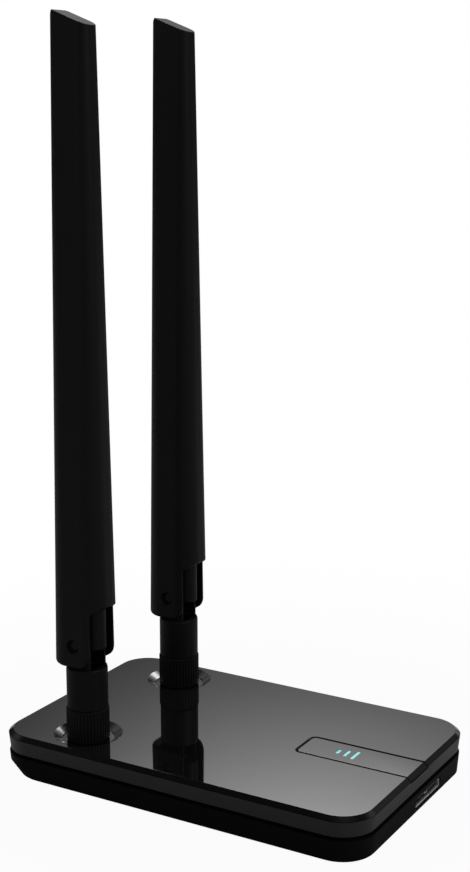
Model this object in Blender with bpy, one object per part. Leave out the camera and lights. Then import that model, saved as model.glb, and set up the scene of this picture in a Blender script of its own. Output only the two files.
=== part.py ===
"""A desk USB Wi-Fi adapter: a flat case with a gloss plate and two screw-on antennas that swivel and fold.

Metres, +Z up. +X runs along the case towards the cable socket, -Y is the long side that faces the viewer.
The origin is on the table, under the middle of the case.
"""

import math

import bmesh
import bpy
from mathutils import Vector

MM = 0.001

# Gaps between pieces
SEAT_GAP = 0.08 * MM  # fixed pieces that rest on each other
RUN_GAP = 0.15 * MM  # pieces that turn or slide on each other

# Case outline, measured at its widest line, the top of the satin band
BASE_LENGTH = 86.0 * MM
BASE_WIDTH = 55.0 * MM
CORNER_RADIUS = 7.5 * MM

# Case heights, from the table up
FOOT_PROUD = 0.6 * MM
SHELL_HEIGHT = 4.46 * MM
GROOVE_HEIGHT = 0.76 * MM
BAND_HEIGHT = 3.13 * MM
PLATE_THICKNESS = 0.82 * MM
PLATE_CHAMFER = 1.0 * MM

# Case walls
BAND_LEAN = 0.35 * MM  # how far the band draws in towards its lower edge
SHELL_INSET = 0.10 * MM  # the lower shell's rim, inside the widest line
SHELL_DRAFT = 0.35 * MM
SHELL_TOE = 2.7 * MM  # how far the antenna end slopes in at the underside
TOE_HEIGHT = 2.7 * MM
SHELL_EDGE = 0.25 * MM  # chamfer round the underside
FLOOR_THICKNESS = 1.0 * MM
GROOVE_DEPTH = 1.1 * MM
LIP_THICKNESS = 0.8 * MM
DECK_THICKNESS = 1.5 * MM

# Antenna places and the wells round them
ANTENNA_INSET = 17.7 * MM  # from the antenna end of the case
ANTENNA_SPACING = 36.0 * MM
BEZEL_RADIUS = 7.27 * MM
BEZEL_RUN = 1.7 * MM  # width of the bezel's sloping wall
BEZEL_EDGE = 0.12 * MM
WELL_DEPTH = 1.1 * MM
WELL_WALL = 0.7 * MM

# Pairing key with its light bars
KEY_LENGTH = 26.0 * MM
KEY_WIDTH = 8.2 * MM
KEY_RADIUS = 1.1 * MM
KEY_GAP = 0.28 * MM
KEY_TRAVEL = 0.25 * MM
KEY_OPENING_LENGTH = 13.0 * MM
KEY_OPENING_WIDTH = 7.0 * MM
BAR_LENGTHS = (1.9 * MM, 2.8 * MM, 3.9 * MM)
BAR_WIDTH = 0.65 * MM
BAR_PITCH = 1.9 * MM
BAR_GAP = 0.08 * MM
BARS_FROM_END = 15.2 * MM  # middle bar, from the end of the flat face
GUIDE_MARGIN = 0.8 * MM
GUIDE_FLANGE = 0.6 * MM
GUIDE_STEM_LENGTH = 2.0 * MM
GUIDE_STEM_WIDTH = 3.0 * MM
KEY_STEM_RADIUS = 1.2 * MM
KEY_STEM_FROM_END = 9.0 * MM

# Circuit board and what is soldered to it
BOARD_THICKNESS = 1.0 * MM
BOARD_MARGIN = 0.6 * MM
BOARD_RADIUS = 4.0 * MM
SWITCH_SIDE = 4.0 * MM
SWITCH_HEIGHT = 1.5 * MM
SWITCH_BASE = 0.3 * MM
PLUNGER_RADIUS = 1.0 * MM
PLUNGER_RISE = 0.7 * MM
LED_SIZE = (1.6 * MM, 0.9 * MM, 0.6 * MM)
CAN_SIZE = (24.0 * MM, 22.0 * MM, 1.7 * MM)
CAN_WALL = 0.3 * MM
CAN_X = 4.0 * MM
CHIP_SIZE = (9.0 * MM, 9.0 * MM, 0.9 * MM)
CRYSTAL_SIZE = (3.2 * MM, 2.5 * MM, 0.8 * MM)
CRYSTAL_GAP = 3.75 * MM  # from the can's front wall
INDUCTOR_SIZE = (4.0 * MM, 4.0 * MM, 1.6 * MM)
INDUCTOR_INSET = (14.4 * MM, 10.9 * MM)  # from the socket end and the rear edge of the board
FRONT_END_SIZE = (3.0 * MM, 3.0 * MM, 0.8 * MM)
FRONT_END_OFFSET = (11.8 * MM, 6.0 * MM)  # from the antenna, towards the middle of the board

# Cable socket, under the board at the end of the case
PORT_WIDTH = 12.2 * MM
PORT_HEIGHT = 1.95 * MM
PORT_LIFT = 0.25 * MM  # above the shell's floor
PORT_GAP = 0.12 * MM
PORT_DEPTH = 6.6 * MM
PORT_WALL = 0.25 * MM
PORT_Y = 5.45 * MM
PORT_NOTCH_Y = -0.9 * MM  # notch that parts the two bays, from the socket's middle
PORT_NOTCH_WIDTH = 0.7 * MM
PORT_NOTCH_DEPTH = 0.45 * MM
PORT_BEVEL = 0.5 * MM
TONGUE_THICKNESS = 0.5 * MM
TONGUE_SIDE_GAP = 0.9 * MM
TONGUE_ROOT = 1.2 * MM
TONGUE_SETBACK = 1.0 * MM

# Screws and feet
SCREW_FROM_ANTENNA = 15.3 * MM  # left pair, towards the socket from the antennas
SCREW_FROM_END = 7.5 * MM  # right pair, from the socket end of the case
SCREW_INSET_Y = 5.7 * MM
SCREW_RADIUS = 1.0 * MM
SCREW_HEAD_RADIUS = 1.9 * MM
SCREW_HEAD_HEIGHT = 1.0 * MM
SCREW_SINK = 0.4 * MM
SCREW_BITE = 2.2 * MM
SCREW_HOLE_GAP = 0.15 * MM
SCREW_SLOT_WIDTH = 0.5 * MM
SCREW_SLOT_DEPTH = 0.4 * MM
BOSS_WALL = 0.9 * MM
POST_RADIUS = 2.4 * MM
FOOT_RADIUS = 4.0 * MM
FOOT_SEAT = 0.45 * MM
FOOT_INSET_X = 13.5 * MM
FOOT_INSET_Y = 8.4 * MM
FOOT_EDGE = 0.25 * MM

# Coaxial jack on the board and the plug under each antenna
JACK_RADIUS = 3.15 * MM
JACK_BORE = 2.3 * MM
JACK_FLANGE_RADIUS = 4.2 * MM
JACK_FLANGE = 1.1 * MM
JACK_TOP = 3.6 * MM  # above the plate's face
JACK_INSULATOR_TOP = 1.2 * MM
CONTACT_RADIUS = 0.45 * MM
CONTACT_TAIL = 0.5 * MM
PLUG_SLEEVE_LENGTH = 2.0 * MM
PLUG_WALL = 0.5 * MM
PLUG_FLANGE = 0.9 * MM
PLUG_SHANK_RADIUS = 2.6 * MM
SHANK_RISE = 5.6 * MM  # above the nut
SNAP_RADIUS = 3.1 * MM
SNAP_HEIGHT = 1.6 * MM
SOCKET_WALL = 0.4 * MM
PLUG_FILL = 1.5 * MM  # how far the insulator and the contact reach above the flange

# Coupling nut
NUT_RADIUS = 4.55 * MM
NUT_TOP = 6.2 * MM  # above the plate's face
NUT_LIP = 1.2 * MM
NUT_CHAMFER = 0.3 * MM
NUT_FLUTES = 40
NUT_FLUTE_DEPTH = 0.2 * MM

# Swivel base with its two hinge ears
COLLAR_RADIUS = 4.37 * MM
COLLAR_TOP = 15.0 * MM  # above the plate's face
SHOULDER_HEIGHT = 1.5 * MM
SHOULDER_DRAW = 0.4 * MM
PIN_HEIGHT = 20.67 * MM  # above the plate's face
WEB_HALF = 1.63 * MM  # half thickness of the blade's middle web
EAR_THICKNESS = 1.2 * MM
EAR_HALF = 2.8 * MM

# Antenna blade
CHEEK_DROP = 4.73 * MM  # cheeks, below the hinge pin, and the radius of their foot
CHEEK_CUT = 4.16 * MM  # cheeks cut back on the folding side
NOTCH_TOP = 7.83 * MM  # above the hinge pin
WEB_REACH = 5.3 * MM
WEB_EYE = 2.9 * MM  # round foot of the web under the pin
WEB_FOOT = -0.95 * MM
WEB_RISE = 0.3  # slope of the web's lower edge
BLADE_ROOT = (6.29 * MM, 5.14 * MM, 4.26 * MM)  # half width, half depth and corner radius at the cheeks' foot
BLADE_TIP = (3.72 * MM, 2.93 * MM, 0.76 * MM)  # the same at the tip
BLADE_HEIGHT = 146.7 * MM  # middle of the slanted tip, above the plate's face
TIP_SLOPE = 0.36
PIN_RADIUS = 1.15 * MM
PIN_RECESS = 1.2 * MM
PIN_RECESS_RADIUS = 1.45 * MM
PIN_PROUD = 0.2 * MM
PIN_FIT = 0.06 * MM
RADIATOR_SLEEVE = (1.9 * MM, 36.0 * MM)  # radius and length
RADIATOR_ROD = (0.7 * MM, 34.0 * MM)
RADIATOR_GAP = 0.15 * MM
RADIATOR_LIFT = 3.0 * MM  # above the hinge notch

# Facets
CORNER_STEPS = 8
KEY_STEPS = 4
ROUND_STEPS = 32
SMALL_STEPS = 16
PIN_STEPS = 24
PAST = 1.0 * MM  # how far a cutter runs past what it cuts

# Levels that follow from the sizes above
SHELL_Z0 = FOOT_PROUD
SHELL_Z1 = SHELL_Z0 + SHELL_HEIGHT
BAND_Z0 = SHELL_Z1 + GROOVE_HEIGHT
BAND_Z1 = BAND_Z0 + BAND_HEIGHT
PLATE_Z0 = BAND_Z1 + SEAT_GAP
FACE_Z = PLATE_Z0 + PLATE_THICKNESS
DECK_Z0 = BAND_Z1 - DECK_THICKNESS
FLOOR_Z = SHELL_Z0 + FLOOR_THICKNESS
PORT_Z0 = FLOOR_Z + PORT_LIFT
PORT_Z1 = PORT_Z0 + PORT_HEIGHT
BOARD_Z0 = PORT_Z1 + SEAT_GAP
BOARD_Z1 = BOARD_Z0 + BOARD_THICKNESS
BOSS_Z1 = BOARD_Z0 - SEAT_GAP
PARTS_Z = BOARD_Z1 + SEAT_GAP

# Insets from the widest outline
LIP_INSET = SHELL_INSET + GROOVE_DEPTH
CAVITY_INSET = LIP_INSET + LIP_THICKNESS
BAND_CAVITY_INSET = LIP_INSET - RUN_GAP

# Places that follow
ANTENNA_X = -BASE_LENGTH / 2 + ANTENNA_INSET
FACE_END_X = BASE_LENGTH / 2 - PLATE_CHAMFER
KEY_X1 = BASE_LENGTH / 2
KEY_X0 = KEY_X1 - KEY_LENGTH
BARS_X = FACE_END_X - BARS_FROM_END
KEY_STEM_X = FACE_END_X - KEY_STEM_FROM_END
PORT_X1 = BASE_LENGTH / 2 - SHELL_INSET - SHELL_DRAFT
PORT_X0 = PORT_X1 - PORT_DEPTH
BOARD_X0 = -BASE_LENGTH / 2 + CAVITY_INSET + BOARD_MARGIN
BOARD_X1 = BASE_LENGTH / 2 - CAVITY_INSET - BOARD_MARGIN
BOARD_HALF_Y = BASE_WIDTH / 2 - CAVITY_INSET - BOARD_MARGIN
SCREW_Y = BASE_WIDTH / 2 - SCREW_INSET_Y
SCREW_X = (ANTENNA_X + SCREW_FROM_ANTENNA, BASE_LENGTH / 2 - SCREW_FROM_END)
SCREW_PLACES = [(x, side * SCREW_Y) for x in SCREW_X for side in (-1, 1)]
FOOT_X = BASE_LENGTH / 2 - FOOT_INSET_X
FOOT_Y = BASE_WIDTH / 2 - FOOT_INSET_Y
ANTENNAS = {"front": -ANTENNA_SPACING / 2, "rear": ANTENNA_SPACING / 2}
CORNER_NAMES = ("left_front", "left_rear", "right_front", "right_rear")


def clear_scene():
    for obj in list(bpy.data.objects):
        bpy.data.objects.remove(obj, do_unlink=True)


def make_material(name, colour, roughness, metallic=0.0):
    mat = bpy.data.materials.new(name)
    mat.use_nodes = True
    shader = mat.node_tree.nodes["Principled BSDF"]
    shader.inputs["Base Color"].default_value = (*colour, 1.0)
    shader.inputs["Roughness"].default_value = roughness
    shader.inputs["Metallic"].default_value = metallic
    return mat


def finish_mesh(name, bm, material=None):
    """Turns a bmesh into a named object with outward faces, smooth where its faces meet gently."""
    bmesh.ops.remove_doubles(bm, verts=bm.verts, dist=1e-7)
    bmesh.ops.recalc_face_normals(bm, faces=bm.faces)
    mesh = bpy.data.meshes.new(name)
    bm.to_mesh(mesh)
    bm.free()
    mesh.shade_smooth()
    mesh.set_sharp_from_angle(angle=math.radians(35))
    obj = bpy.data.objects.new(name, mesh)
    bpy.context.scene.collection.objects.link(obj)
    if material:
        mesh.materials.append(material)
    return obj


def rounded_outline(x0, x1, y0, y1, radius, steps=CORNER_STEPS):
    """A rectangle with round corners, anticlockwise, as (x, y) points."""
    radius = min(radius, (x1 - x0) / 2, (y1 - y0) / 2)
    centres = ((x1 - radius, y1 - radius), (x0 + radius, y1 - radius))
    centres += ((x0 + radius, y0 + radius), (x1 - radius, y0 + radius))
    points = []
    for quarter, (cx, cy) in enumerate(centres):
        for step in range(steps + 1):
            angle = math.pi / 2 * (quarter + step / steps)
            points.append((cx + radius * math.cos(angle), cy + radius * math.sin(angle)))
    return points


def case_ring(inset, z, toe=0.0):
    """The case's outline, drawn in by inset, with its antenna end moved in by toe."""
    half_x = BASE_LENGTH / 2 - inset
    half_y = BASE_WIDTH / 2 - inset
    flat = rounded_outline(-half_x + toe, half_x, -half_y, half_y, CORNER_RADIUS - inset)
    return [(x, y, z) for x, y in flat]


def loft(name, rings, material=None):
    """A solid through rings of equally many points, with flat ends."""
    bm = bmesh.new()
    loops = [[bm.verts.new(point) for point in ring] for ring in rings]
    count = len(rings[0])
    for low, high in zip(loops, loops[1:]):
        for i in range(count):
            j = (i + 1) % count
            bm.faces.new((low[i], low[j], high[j], high[i]))
    bm.faces.new(reversed(loops[0]))
    bm.faces.new(loops[-1])
    return finish_mesh(name, bm, material)


def prism(name, outline, axis, low, high, material=None):
    """An outline pushed along X, Y or Z. The outline gives the other two coordinates in X, Y, Z order."""
    def at(level, point):
        spot = list(point)
        spot.insert("XYZ".index(axis), level)
        return spot

    return loft(name, [[at(level, point) for point in outline] for level in (low, high)], material)


def block(name, low, high, material=None):
    outline = [(low[0], low[1]), (high[0], low[1]), (high[0], high[1]), (low[0], high[1])]
    return prism(name, outline, "Z", low[2], high[2], material)


def turned(name, profile, material=None, steps=ROUND_STEPS, at=(0.0, 0.0)):
    """A closed profile of (radius, z) points spun round the upright line through at."""
    bm = bmesh.new()
    verts = [bm.verts.new((radius, 0.0, z)) for radius, z in profile]
    edges = [bm.edges.new((a, b)) for a, b in zip(verts, verts[1:] + verts[:1])]
    axis_edges = [e for e in edges if all(v.co.x == 0.0 for v in e.verts)]
    bmesh.ops.delete(bm, geom=axis_edges, context="EDGES_FACES")
    bmesh.ops.spin(
        bm,
        geom=bm.verts[:] + bm.edges[:],
        cent=(0, 0, 0),
        axis=(0, 0, 1),
        angle=2 * math.pi,
        steps=steps,
        use_merge=True,
    )
    bmesh.ops.translate(bm, verts=bm.verts, vec=Vector((*at, 0.0)))
    return finish_mesh(name, bm, material)


def rod(name, radius, low, high, material=None, steps=SMALL_STEPS, at=(0.0, 0.0)):
    return turned(name, [(0.0, low), (radius, low), (radius, high), (0.0, high)], material, steps, at)


def tube(name, outer, inner, low, high, material=None, steps=ROUND_STEPS, at=(0.0, 0.0)):
    return turned(name, [(inner, low), (outer, low), (outer, high), (inner, high)], material, steps, at)


def change(obj, tool, operation):
    """Joins a tool to an object, or cuts it out, and leaves the tool as a hidden guide."""
    tool.hide_render = True
    tool.display_type = "WIRE"
    modifier = obj.modifiers.new(tool.name, "BOOLEAN")
    modifier.operation = operation
    modifier.object = tool
    return tool


def cut(obj, tool):
    return change(obj, tool, "DIFFERENCE")


def join(obj, tool):
    return change(obj, tool, "UNION")


def merged(name, tools):
    """Several tools that stand clear of each other, as one tool."""
    bm = bmesh.new()
    for tool in tools:
        bm.from_mesh(tool.data)
        bpy.data.objects.remove(tool, do_unlink=True)
    return finish_mesh(name, bm)


def make_axis(name, place, parent=None):
    axis = bpy.data.objects.new(name, None)
    axis.empty_display_size = 5 * MM
    axis.location = place
    axis.parent = parent
    bpy.context.scene.collection.objects.link(axis)
    return axis


def put(objects, parent):
    for obj in objects:
        obj.parent = parent


def arc(centre, radius, start, end, steps):
    """Points on a circle, with angles in degrees."""
    angles = [math.radians(start + (end - start) * i / steps) for i in range(steps + 1)]
    return [(centre[0] + radius * math.cos(a), centre[1] + radius * math.sin(a)) for a in angles]


def bottom_shell(mats):
    def toe_at(z):
        return SHELL_TOE * (1 - (z - SHELL_Z0) / TOE_HEIGHT)

    def draft_at(z):
        return SHELL_INSET + SHELL_DRAFT * (SHELL_Z1 - z) / SHELL_HEIGHT

    edge_z = SHELL_Z0 + SHELL_EDGE
    toe_z = SHELL_Z0 + TOE_HEIGHT
    rings = [
        case_ring(draft_at(edge_z) + SHELL_EDGE, SHELL_Z0, SHELL_TOE),
        case_ring(draft_at(edge_z), edge_z, toe_at(edge_z)),
        case_ring(draft_at(toe_z), toe_z),
        case_ring(SHELL_INSET, SHELL_Z1),
        case_ring(LIP_INSET, SHELL_Z1),
        case_ring(LIP_INSET, DECK_Z0 - 2 * SEAT_GAP),
    ]
    shell = loft("bottom_shell", rings, mats["satin"])
    hollow = [
        case_ring(CAVITY_INSET, FLOOR_Z, toe_at(FLOOR_Z)),
        case_ring(CAVITY_INSET, toe_z),
        case_ring(CAVITY_INSET, DECK_Z0 + PAST),
    ]
    cut(shell, loft("shell_hollow", hollow))

    seat_z = SHELL_Z0 + SCREW_SINK
    head_z = seat_z + SCREW_HEAD_HEIGHT + SEAT_GAP
    boss_radius = SCREW_HEAD_RADIUS + SCREW_HOLE_GAP + BOSS_WALL
    boss_z0 = (SHELL_Z0 + FLOOR_Z) / 2
    boss = (boss_radius, boss_z0, BOSS_Z1)
    bosses = [rod("boss", *boss, steps=ROUND_STEPS, at=place) for place in SCREW_PLACES]
    join(shell, merged("screw_bosses", bosses))
    head_bore = SCREW_HEAD_RADIUS + SCREW_HOLE_GAP
    shank_bore = SCREW_RADIUS + SCREW_HOLE_GAP
    profile = [(0.0, SHELL_Z0 - PAST), (head_bore, SHELL_Z0 - PAST), (head_bore, head_z)]
    profile += [(shank_bore, head_z), (shank_bore, BOSS_Z1 + PAST), (0.0, BOSS_Z1 + PAST)]
    bores = [turned("bore", profile, steps=SMALL_STEPS, at=place) for place in SCREW_PLACES]
    seat = (FOOT_RADIUS + SEAT_GAP, SHELL_Z0 - PAST, SHELL_Z0 + FOOT_SEAT)
    bores += [rod("seat", *seat, steps=ROUND_STEPS, at=place) for place in foot_places()]
    bores.append(prism("window", port_outline(PORT_GAP), "X", PORT_X0 + PAST, BASE_LENGTH / 2 + PAST))
    cut(shell, merged("screw_bores_foot_seats_and_port", bores))


def upper_shell(mats):
    rings = [case_ring(BAND_LEAN, BAND_Z0), case_ring(0.0, BAND_Z1)]
    shell = loft("upper_shell", rings, mats["satin"])
    hollow = [case_ring(BAND_CAVITY_INSET, BAND_Z0 - PAST), case_ring(BAND_CAVITY_INSET, DECK_Z0)]
    cut(shell, loft("band_hollow", hollow))
    for name, y in ANTENNAS.items():
        hole = rod(f"well_hole_{name}", well_cup_radius() + SEAT_GAP, DECK_Z0 - PAST, BAND_Z1 + PAST,
                   steps=ROUND_STEPS, at=(ANTENNA_X, y))
        cut(shell, hole)
    pocket_z = PLATE_Z0 - KEY_TRAVEL - RUN_GAP
    cut(shell, prism("key_pocket", key_slot_outline(), "Z", pocket_z, BAND_Z1 + PAST))
    middle = (BARS_X - BAR_PITCH + KEY_STEM_X + KEY_STEM_RADIUS) / 2
    half = KEY_OPENING_LENGTH / 2
    cut(shell, block("key_opening", (middle - half, -KEY_OPENING_WIDTH / 2, DECK_Z0 - PAST),
                     (middle + half, KEY_OPENING_WIDTH / 2, BAND_Z1 + PAST)))
    pilot = SCREW_RADIUS + SEAT_GAP
    post = (POST_RADIUS, PARTS_Z, DECK_Z0 + DECK_THICKNESS / 2)
    join(shell, merged("screw_posts", [rod("post", *post, at=place) for place in SCREW_PLACES]))
    hole = (pilot, PARTS_Z - PAST, PARTS_Z + SCREW_BITE + SEAT_GAP)
    cut(shell, merged("pilot_holes", [rod("pilot", *hole, at=place) for place in SCREW_PLACES]))


def well_cup_radius():
    return BEZEL_RADIUS + SEAT_GAP + WELL_WALL


def key_slot_outline():
    half = KEY_WIDTH / 2 + KEY_GAP
    radius = KEY_RADIUS + KEY_GAP
    return rounded_outline(KEY_X0 - KEY_GAP, KEY_X1 + CORNER_RADIUS, -half, half, radius, KEY_STEPS)


def top_plate(mats):
    plate = loft("top_plate", [case_ring(0.0, PLATE_Z0), case_ring(PLATE_CHAMFER, FACE_Z)], mats["gloss"])
    floor = FACE_Z - WELL_DEPTH
    seat = floor - SEAT_GAP
    cup_z = seat - WELL_WALL
    inner = BEZEL_RADIUS - BEZEL_RUN
    for name, y in ANTENNAS.items():
        place = (ANTENNA_X, y)
        join(plate, rod(f"well_cup_{name}", well_cup_radius(), cup_z, PLATE_Z0 + PLATE_THICKNESS / 2,
                        steps=ROUND_STEPS, at=place))
        hole = JACK_RADIUS + RUN_GAP
        well = BEZEL_RADIUS + SEAT_GAP
        profile = [(0.0, cup_z - PAST), (hole, cup_z - PAST), (hole, seat), (well, seat)]
        profile += [(well, FACE_Z + PAST), (0.0, FACE_Z + PAST)]
        cut(plate, turned(f"well_{name}", profile, at=place))
        ring = [(inner, floor), (BEZEL_RADIUS, floor), (BEZEL_RADIUS, FACE_Z)]
        ring += [(BEZEL_RADIUS - BEZEL_EDGE, FACE_Z), (inner, floor + BEZEL_EDGE)]
        turned(f"antenna_bezel_{name}", ring, mats["chrome"], at=place)
    cut(plate, prism("key_slot", key_slot_outline(), "Z", PLATE_Z0 - PAST, FACE_Z + PAST))


def square_end(outline):
    """The outline with its far round corners replaced by two square ones."""
    far = max(x for x, _ in outline)
    half = max(y for _, y in outline)
    return [(far, -half), (far, half)] + [(x, y) for x, y in outline if x < KEY_X1]


def bar_blocks():
    """(x, half length) of each light bar."""
    return [(BARS_X + (i - 1) * BAR_PITCH, length / 2) for i, length in enumerate(BAR_LENGTHS)]


def pairing_key(mats):
    half = KEY_WIDTH / 2
    foot = rounded_outline(KEY_X0, KEY_X1 + CORNER_RADIUS, -half, half, KEY_RADIUS, KEY_STEPS)
    rings = []
    for z, end in ((PLATE_Z0, KEY_X1), (FACE_Z, FACE_END_X)):
        rings.append([(min(x, end), y, z) for x, y in square_end(foot)])
    key = loft("pairing_key", rings, mats["gloss"])
    join(key, rod("key_stem", KEY_STEM_RADIUS, plunger_top() + SEAT_GAP / 2, PLATE_Z0 + PLATE_THICKNESS / 2,
                  at=(KEY_STEM_X, 0.0)))
    guide_z1 = PLATE_Z0 - SEAT_GAP
    guide_z0 = guide_z1 - GUIDE_FLANGE
    span = BAR_PITCH + BAR_WIDTH / 2 + GUIDE_MARGIN
    side = max(BAR_LENGTHS) / 2 + GUIDE_MARGIN
    low = (BARS_X - span, -side, guide_z0)
    high = (BARS_X + span, side, guide_z1)
    guide = block("light_guide", low, high, mats["light"])
    low = (BARS_X - GUIDE_STEM_LENGTH / 2, -GUIDE_STEM_WIDTH / 2, led_top() + 2 * KEY_TRAVEL)
    high = (BARS_X + GUIDE_STEM_LENGTH / 2, GUIDE_STEM_WIDTH / 2, guide_z1 - GUIDE_FLANGE / 2)
    join(guide, block("guide_stem", low, high))
    for i, (x, reach) in enumerate(bar_blocks()):
        wide = BAR_WIDTH / 2 + BAR_GAP
        cut(key, block(f"bar_slot_{i}", (x - wide, -reach - BAR_GAP, PLATE_Z0 - PAST),
                       (x + wide, reach + BAR_GAP, FACE_Z + PAST)))
        join(guide, block(f"bar_{i}", (x - BAR_WIDTH / 2, -reach, guide_z1 - GUIDE_FLANGE / 2),
                          (x + BAR_WIDTH / 2, reach, FACE_Z)))
    axis = make_axis("key_axis", (KEY_STEM_X, 0.0, FACE_Z))
    for piece in (key, guide):
        tools = [m.object for m in piece.modifiers]
        for obj in [piece] + tools:
            shift_mesh(obj, -axis.location)
        put([piece] + tools, axis)


def shift_mesh(obj, by):
    for vertex in obj.data.vertices:
        vertex.co += by


def switch_top():
    return PARTS_Z + SWITCH_HEIGHT


def plunger_top():
    return switch_top() + PLUNGER_RISE


def led_top():
    return PARTS_Z + LED_SIZE[2]


def on_board(name, size, place, material):
    low = (place[0] - size[0] / 2, place[1] - size[1] / 2, PARTS_Z)
    high = (place[0] + size[0] / 2, place[1] + size[1] / 2, PARTS_Z + size[2])
    return block(name, low, high, material)


def circuit_board(mats):
    outline = rounded_outline(BOARD_X0, BOARD_X1, -BOARD_HALF_Y, BOARD_HALF_Y, BOARD_RADIUS, SMALL_STEPS // 4)
    board = prism("circuit_board", outline, "Z", BOARD_Z0, BOARD_Z1, mats["board"])
    through = (BOARD_Z0 - PAST, BOARD_Z1 + PAST)
    for name, place in zip(CORNER_NAMES, SCREW_PLACES):
        cut(board, rod(f"board_hole_{name}", SCREW_RADIUS + SCREW_HOLE_GAP, *through, at=place))
    for name, y in ANTENNAS.items():
        cut(board, rod(f"pin_hole_{name}", CONTACT_RADIUS + SEAT_GAP, *through, at=(ANTENNA_X, y)))

    switch_place = (KEY_STEM_X, 0.0)
    switch_size = (SWITCH_SIDE, SWITCH_SIDE, SWITCH_HEIGHT)
    body = on_board("switch_body", switch_size, switch_place, mats["metal"])
    well = (PLUNGER_RADIUS + RUN_GAP, PARTS_Z + SWITCH_BASE, switch_top() + PAST)
    cut(body, rod("switch_well", *well, at=switch_place))
    axis = make_axis("plunger_axis", (*switch_place, switch_top()))
    foot = PARTS_Z + SWITCH_BASE + KEY_TRAVEL + RUN_GAP - switch_top()
    put([rod("switch_plunger", PLUNGER_RADIUS, foot, PLUNGER_RISE, mats["black"])], axis)

    on_board("status_led", LED_SIZE, (BARS_X, 0.0), mats["light"])
    on_board("wifi_chip", CHIP_SIZE, (CAN_X, 0.0), mats["black"])
    crystal_y = -(CAN_SIZE[1] + CRYSTAL_SIZE[1]) / 2 - CRYSTAL_GAP
    on_board("crystal", CRYSTAL_SIZE, (CAN_X, crystal_y), mats["metal"])
    inductor_place = (BOARD_X1 - INDUCTOR_INSET[0], BOARD_HALF_Y - INDUCTOR_INSET[1])
    on_board("power_inductor", INDUCTOR_SIZE, inductor_place, mats["black"])
    for name, y in ANTENNAS.items():
        chip_place = (ANTENNA_X + FRONT_END_OFFSET[0], y - math.copysign(FRONT_END_OFFSET[1], y))
        on_board(f"front_end_chip_{name}", FRONT_END_SIZE, chip_place, mats["black"])
    can = on_board("shield_can", CAN_SIZE, (CAN_X, 0.0), mats["metal"])
    inside = [side - 2 * CAN_WALL for side in CAN_SIZE[:2]]
    low = (CAN_X - inside[0] / 2, -inside[1] / 2, PARTS_Z - PAST)
    high = (CAN_X + inside[0] / 2, inside[1] / 2, PARTS_Z + CAN_SIZE[2] - CAN_WALL)
    cut(can, block("can_inside", low, high))


def port_outline(grow):
    """The socket's mouth seen from the end: two bays parted by a notch in the top, as (y, z) points."""
    y0 = PORT_Y - PORT_WIDTH / 2 - grow
    y1 = PORT_Y + PORT_WIDTH / 2 + grow
    z0 = PORT_Z0 - grow
    z1 = PORT_Z1 + grow
    middle = PORT_Y + PORT_NOTCH_Y
    half = PORT_NOTCH_WIDTH / 2 - grow
    floor = PORT_Z1 - PORT_NOTCH_DEPTH + grow
    return [
        (y0, z0),
        (y1, z0),
        (y1, z1 - PORT_BEVEL),
        (y1 - PORT_BEVEL, z1),
        (middle + half, z1),
        (middle + half, floor),
        (middle - half, floor),
        (middle - half, z1),
        (y0 + PORT_BEVEL, z1),
        (y0, z1 - PORT_BEVEL),
    ]


def usb_socket(mats):
    shell = prism("usb_shell", port_outline(0.0), "X", PORT_X0, PORT_X1, mats["metal"])
    cut(shell, prism("usb_mouth", port_outline(-PORT_WALL), "X", PORT_X0 + PORT_WALL, PORT_X1 + PAST))
    inner_gap = PORT_WALL + SEAT_GAP
    root_z1 = PORT_Z1 - PORT_NOTCH_DEPTH - inner_gap
    y0 = PORT_Y - PORT_WIDTH / 2 + inner_gap
    y1 = PORT_Y + PORT_WIDTH / 2 - inner_gap
    x0 = PORT_X0 + inner_gap
    low = (x0, y0, PORT_Z0 + inner_gap)
    tongue = block("usb_tongue", low, (x0 + TONGUE_ROOT, y1, root_z1), mats["black"])
    middle = PORT_Y + PORT_NOTCH_Y
    z0 = (PORT_Z0 + root_z1 - TONGUE_THICKNESS) / 2
    tip = PORT_X1 - TONGUE_SETBACK
    for name, near, far in (
        ("near", y0 + TONGUE_SIDE_GAP, middle - TONGUE_SIDE_GAP),
        ("far", middle + TONGUE_SIDE_GAP, y1 - TONGUE_SIDE_GAP),
    ):
        low = (x0 + TONGUE_ROOT / 2, near, z0)
        join(tongue, block(f"bay_tongue_{name}", low, (tip, far, z0 + TONGUE_THICKNESS)))


def foot_places():
    return [(sx * FOOT_X, sy * FOOT_Y) for sx in (-1, 1) for sy in (-1, 1)]


def screws_and_feet(mats):
    head_z0 = SHELL_Z0 + SCREW_SINK
    head_z1 = head_z0 + SCREW_HEAD_HEIGHT
    tip_z = PARTS_Z + SCREW_BITE
    for name, place in zip(CORNER_NAMES, SCREW_PLACES):
        profile = [(0.0, head_z0), (SCREW_HEAD_RADIUS, head_z0), (SCREW_HEAD_RADIUS, head_z1)]
        profile += [(SCREW_RADIUS, head_z1), (SCREW_RADIUS, tip_z), (0.0, tip_z)]
        screw = turned(f"screw_{name}", profile, mats["metal"], SMALL_STEPS, place)
        long, short = SCREW_HEAD_RADIUS / 2, SCREW_SLOT_WIDTH / 2
        for turn, (half_x, half_y) in enumerate(((long, short), (short, long))):
            low = (place[0] - half_x, place[1] - half_y, head_z0 - PAST)
            high = (place[0] + half_x, place[1] + half_y, head_z0 + SCREW_SLOT_DEPTH)
            cut(screw, block(f"drive_{turn}_{name}", low, high))
    top = SHELL_Z0 + FOOT_SEAT - SEAT_GAP
    for name, place in zip(CORNER_NAMES, foot_places()):
        profile = [(0.0, 0.0), (FOOT_RADIUS - FOOT_EDGE, 0.0), (FOOT_RADIUS, FOOT_EDGE)]
        profile += [(FOOT_RADIUS, top), (0.0, top)]
        turned(f"foot_{name}", profile, mats["rubber"], at=place)


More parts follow.
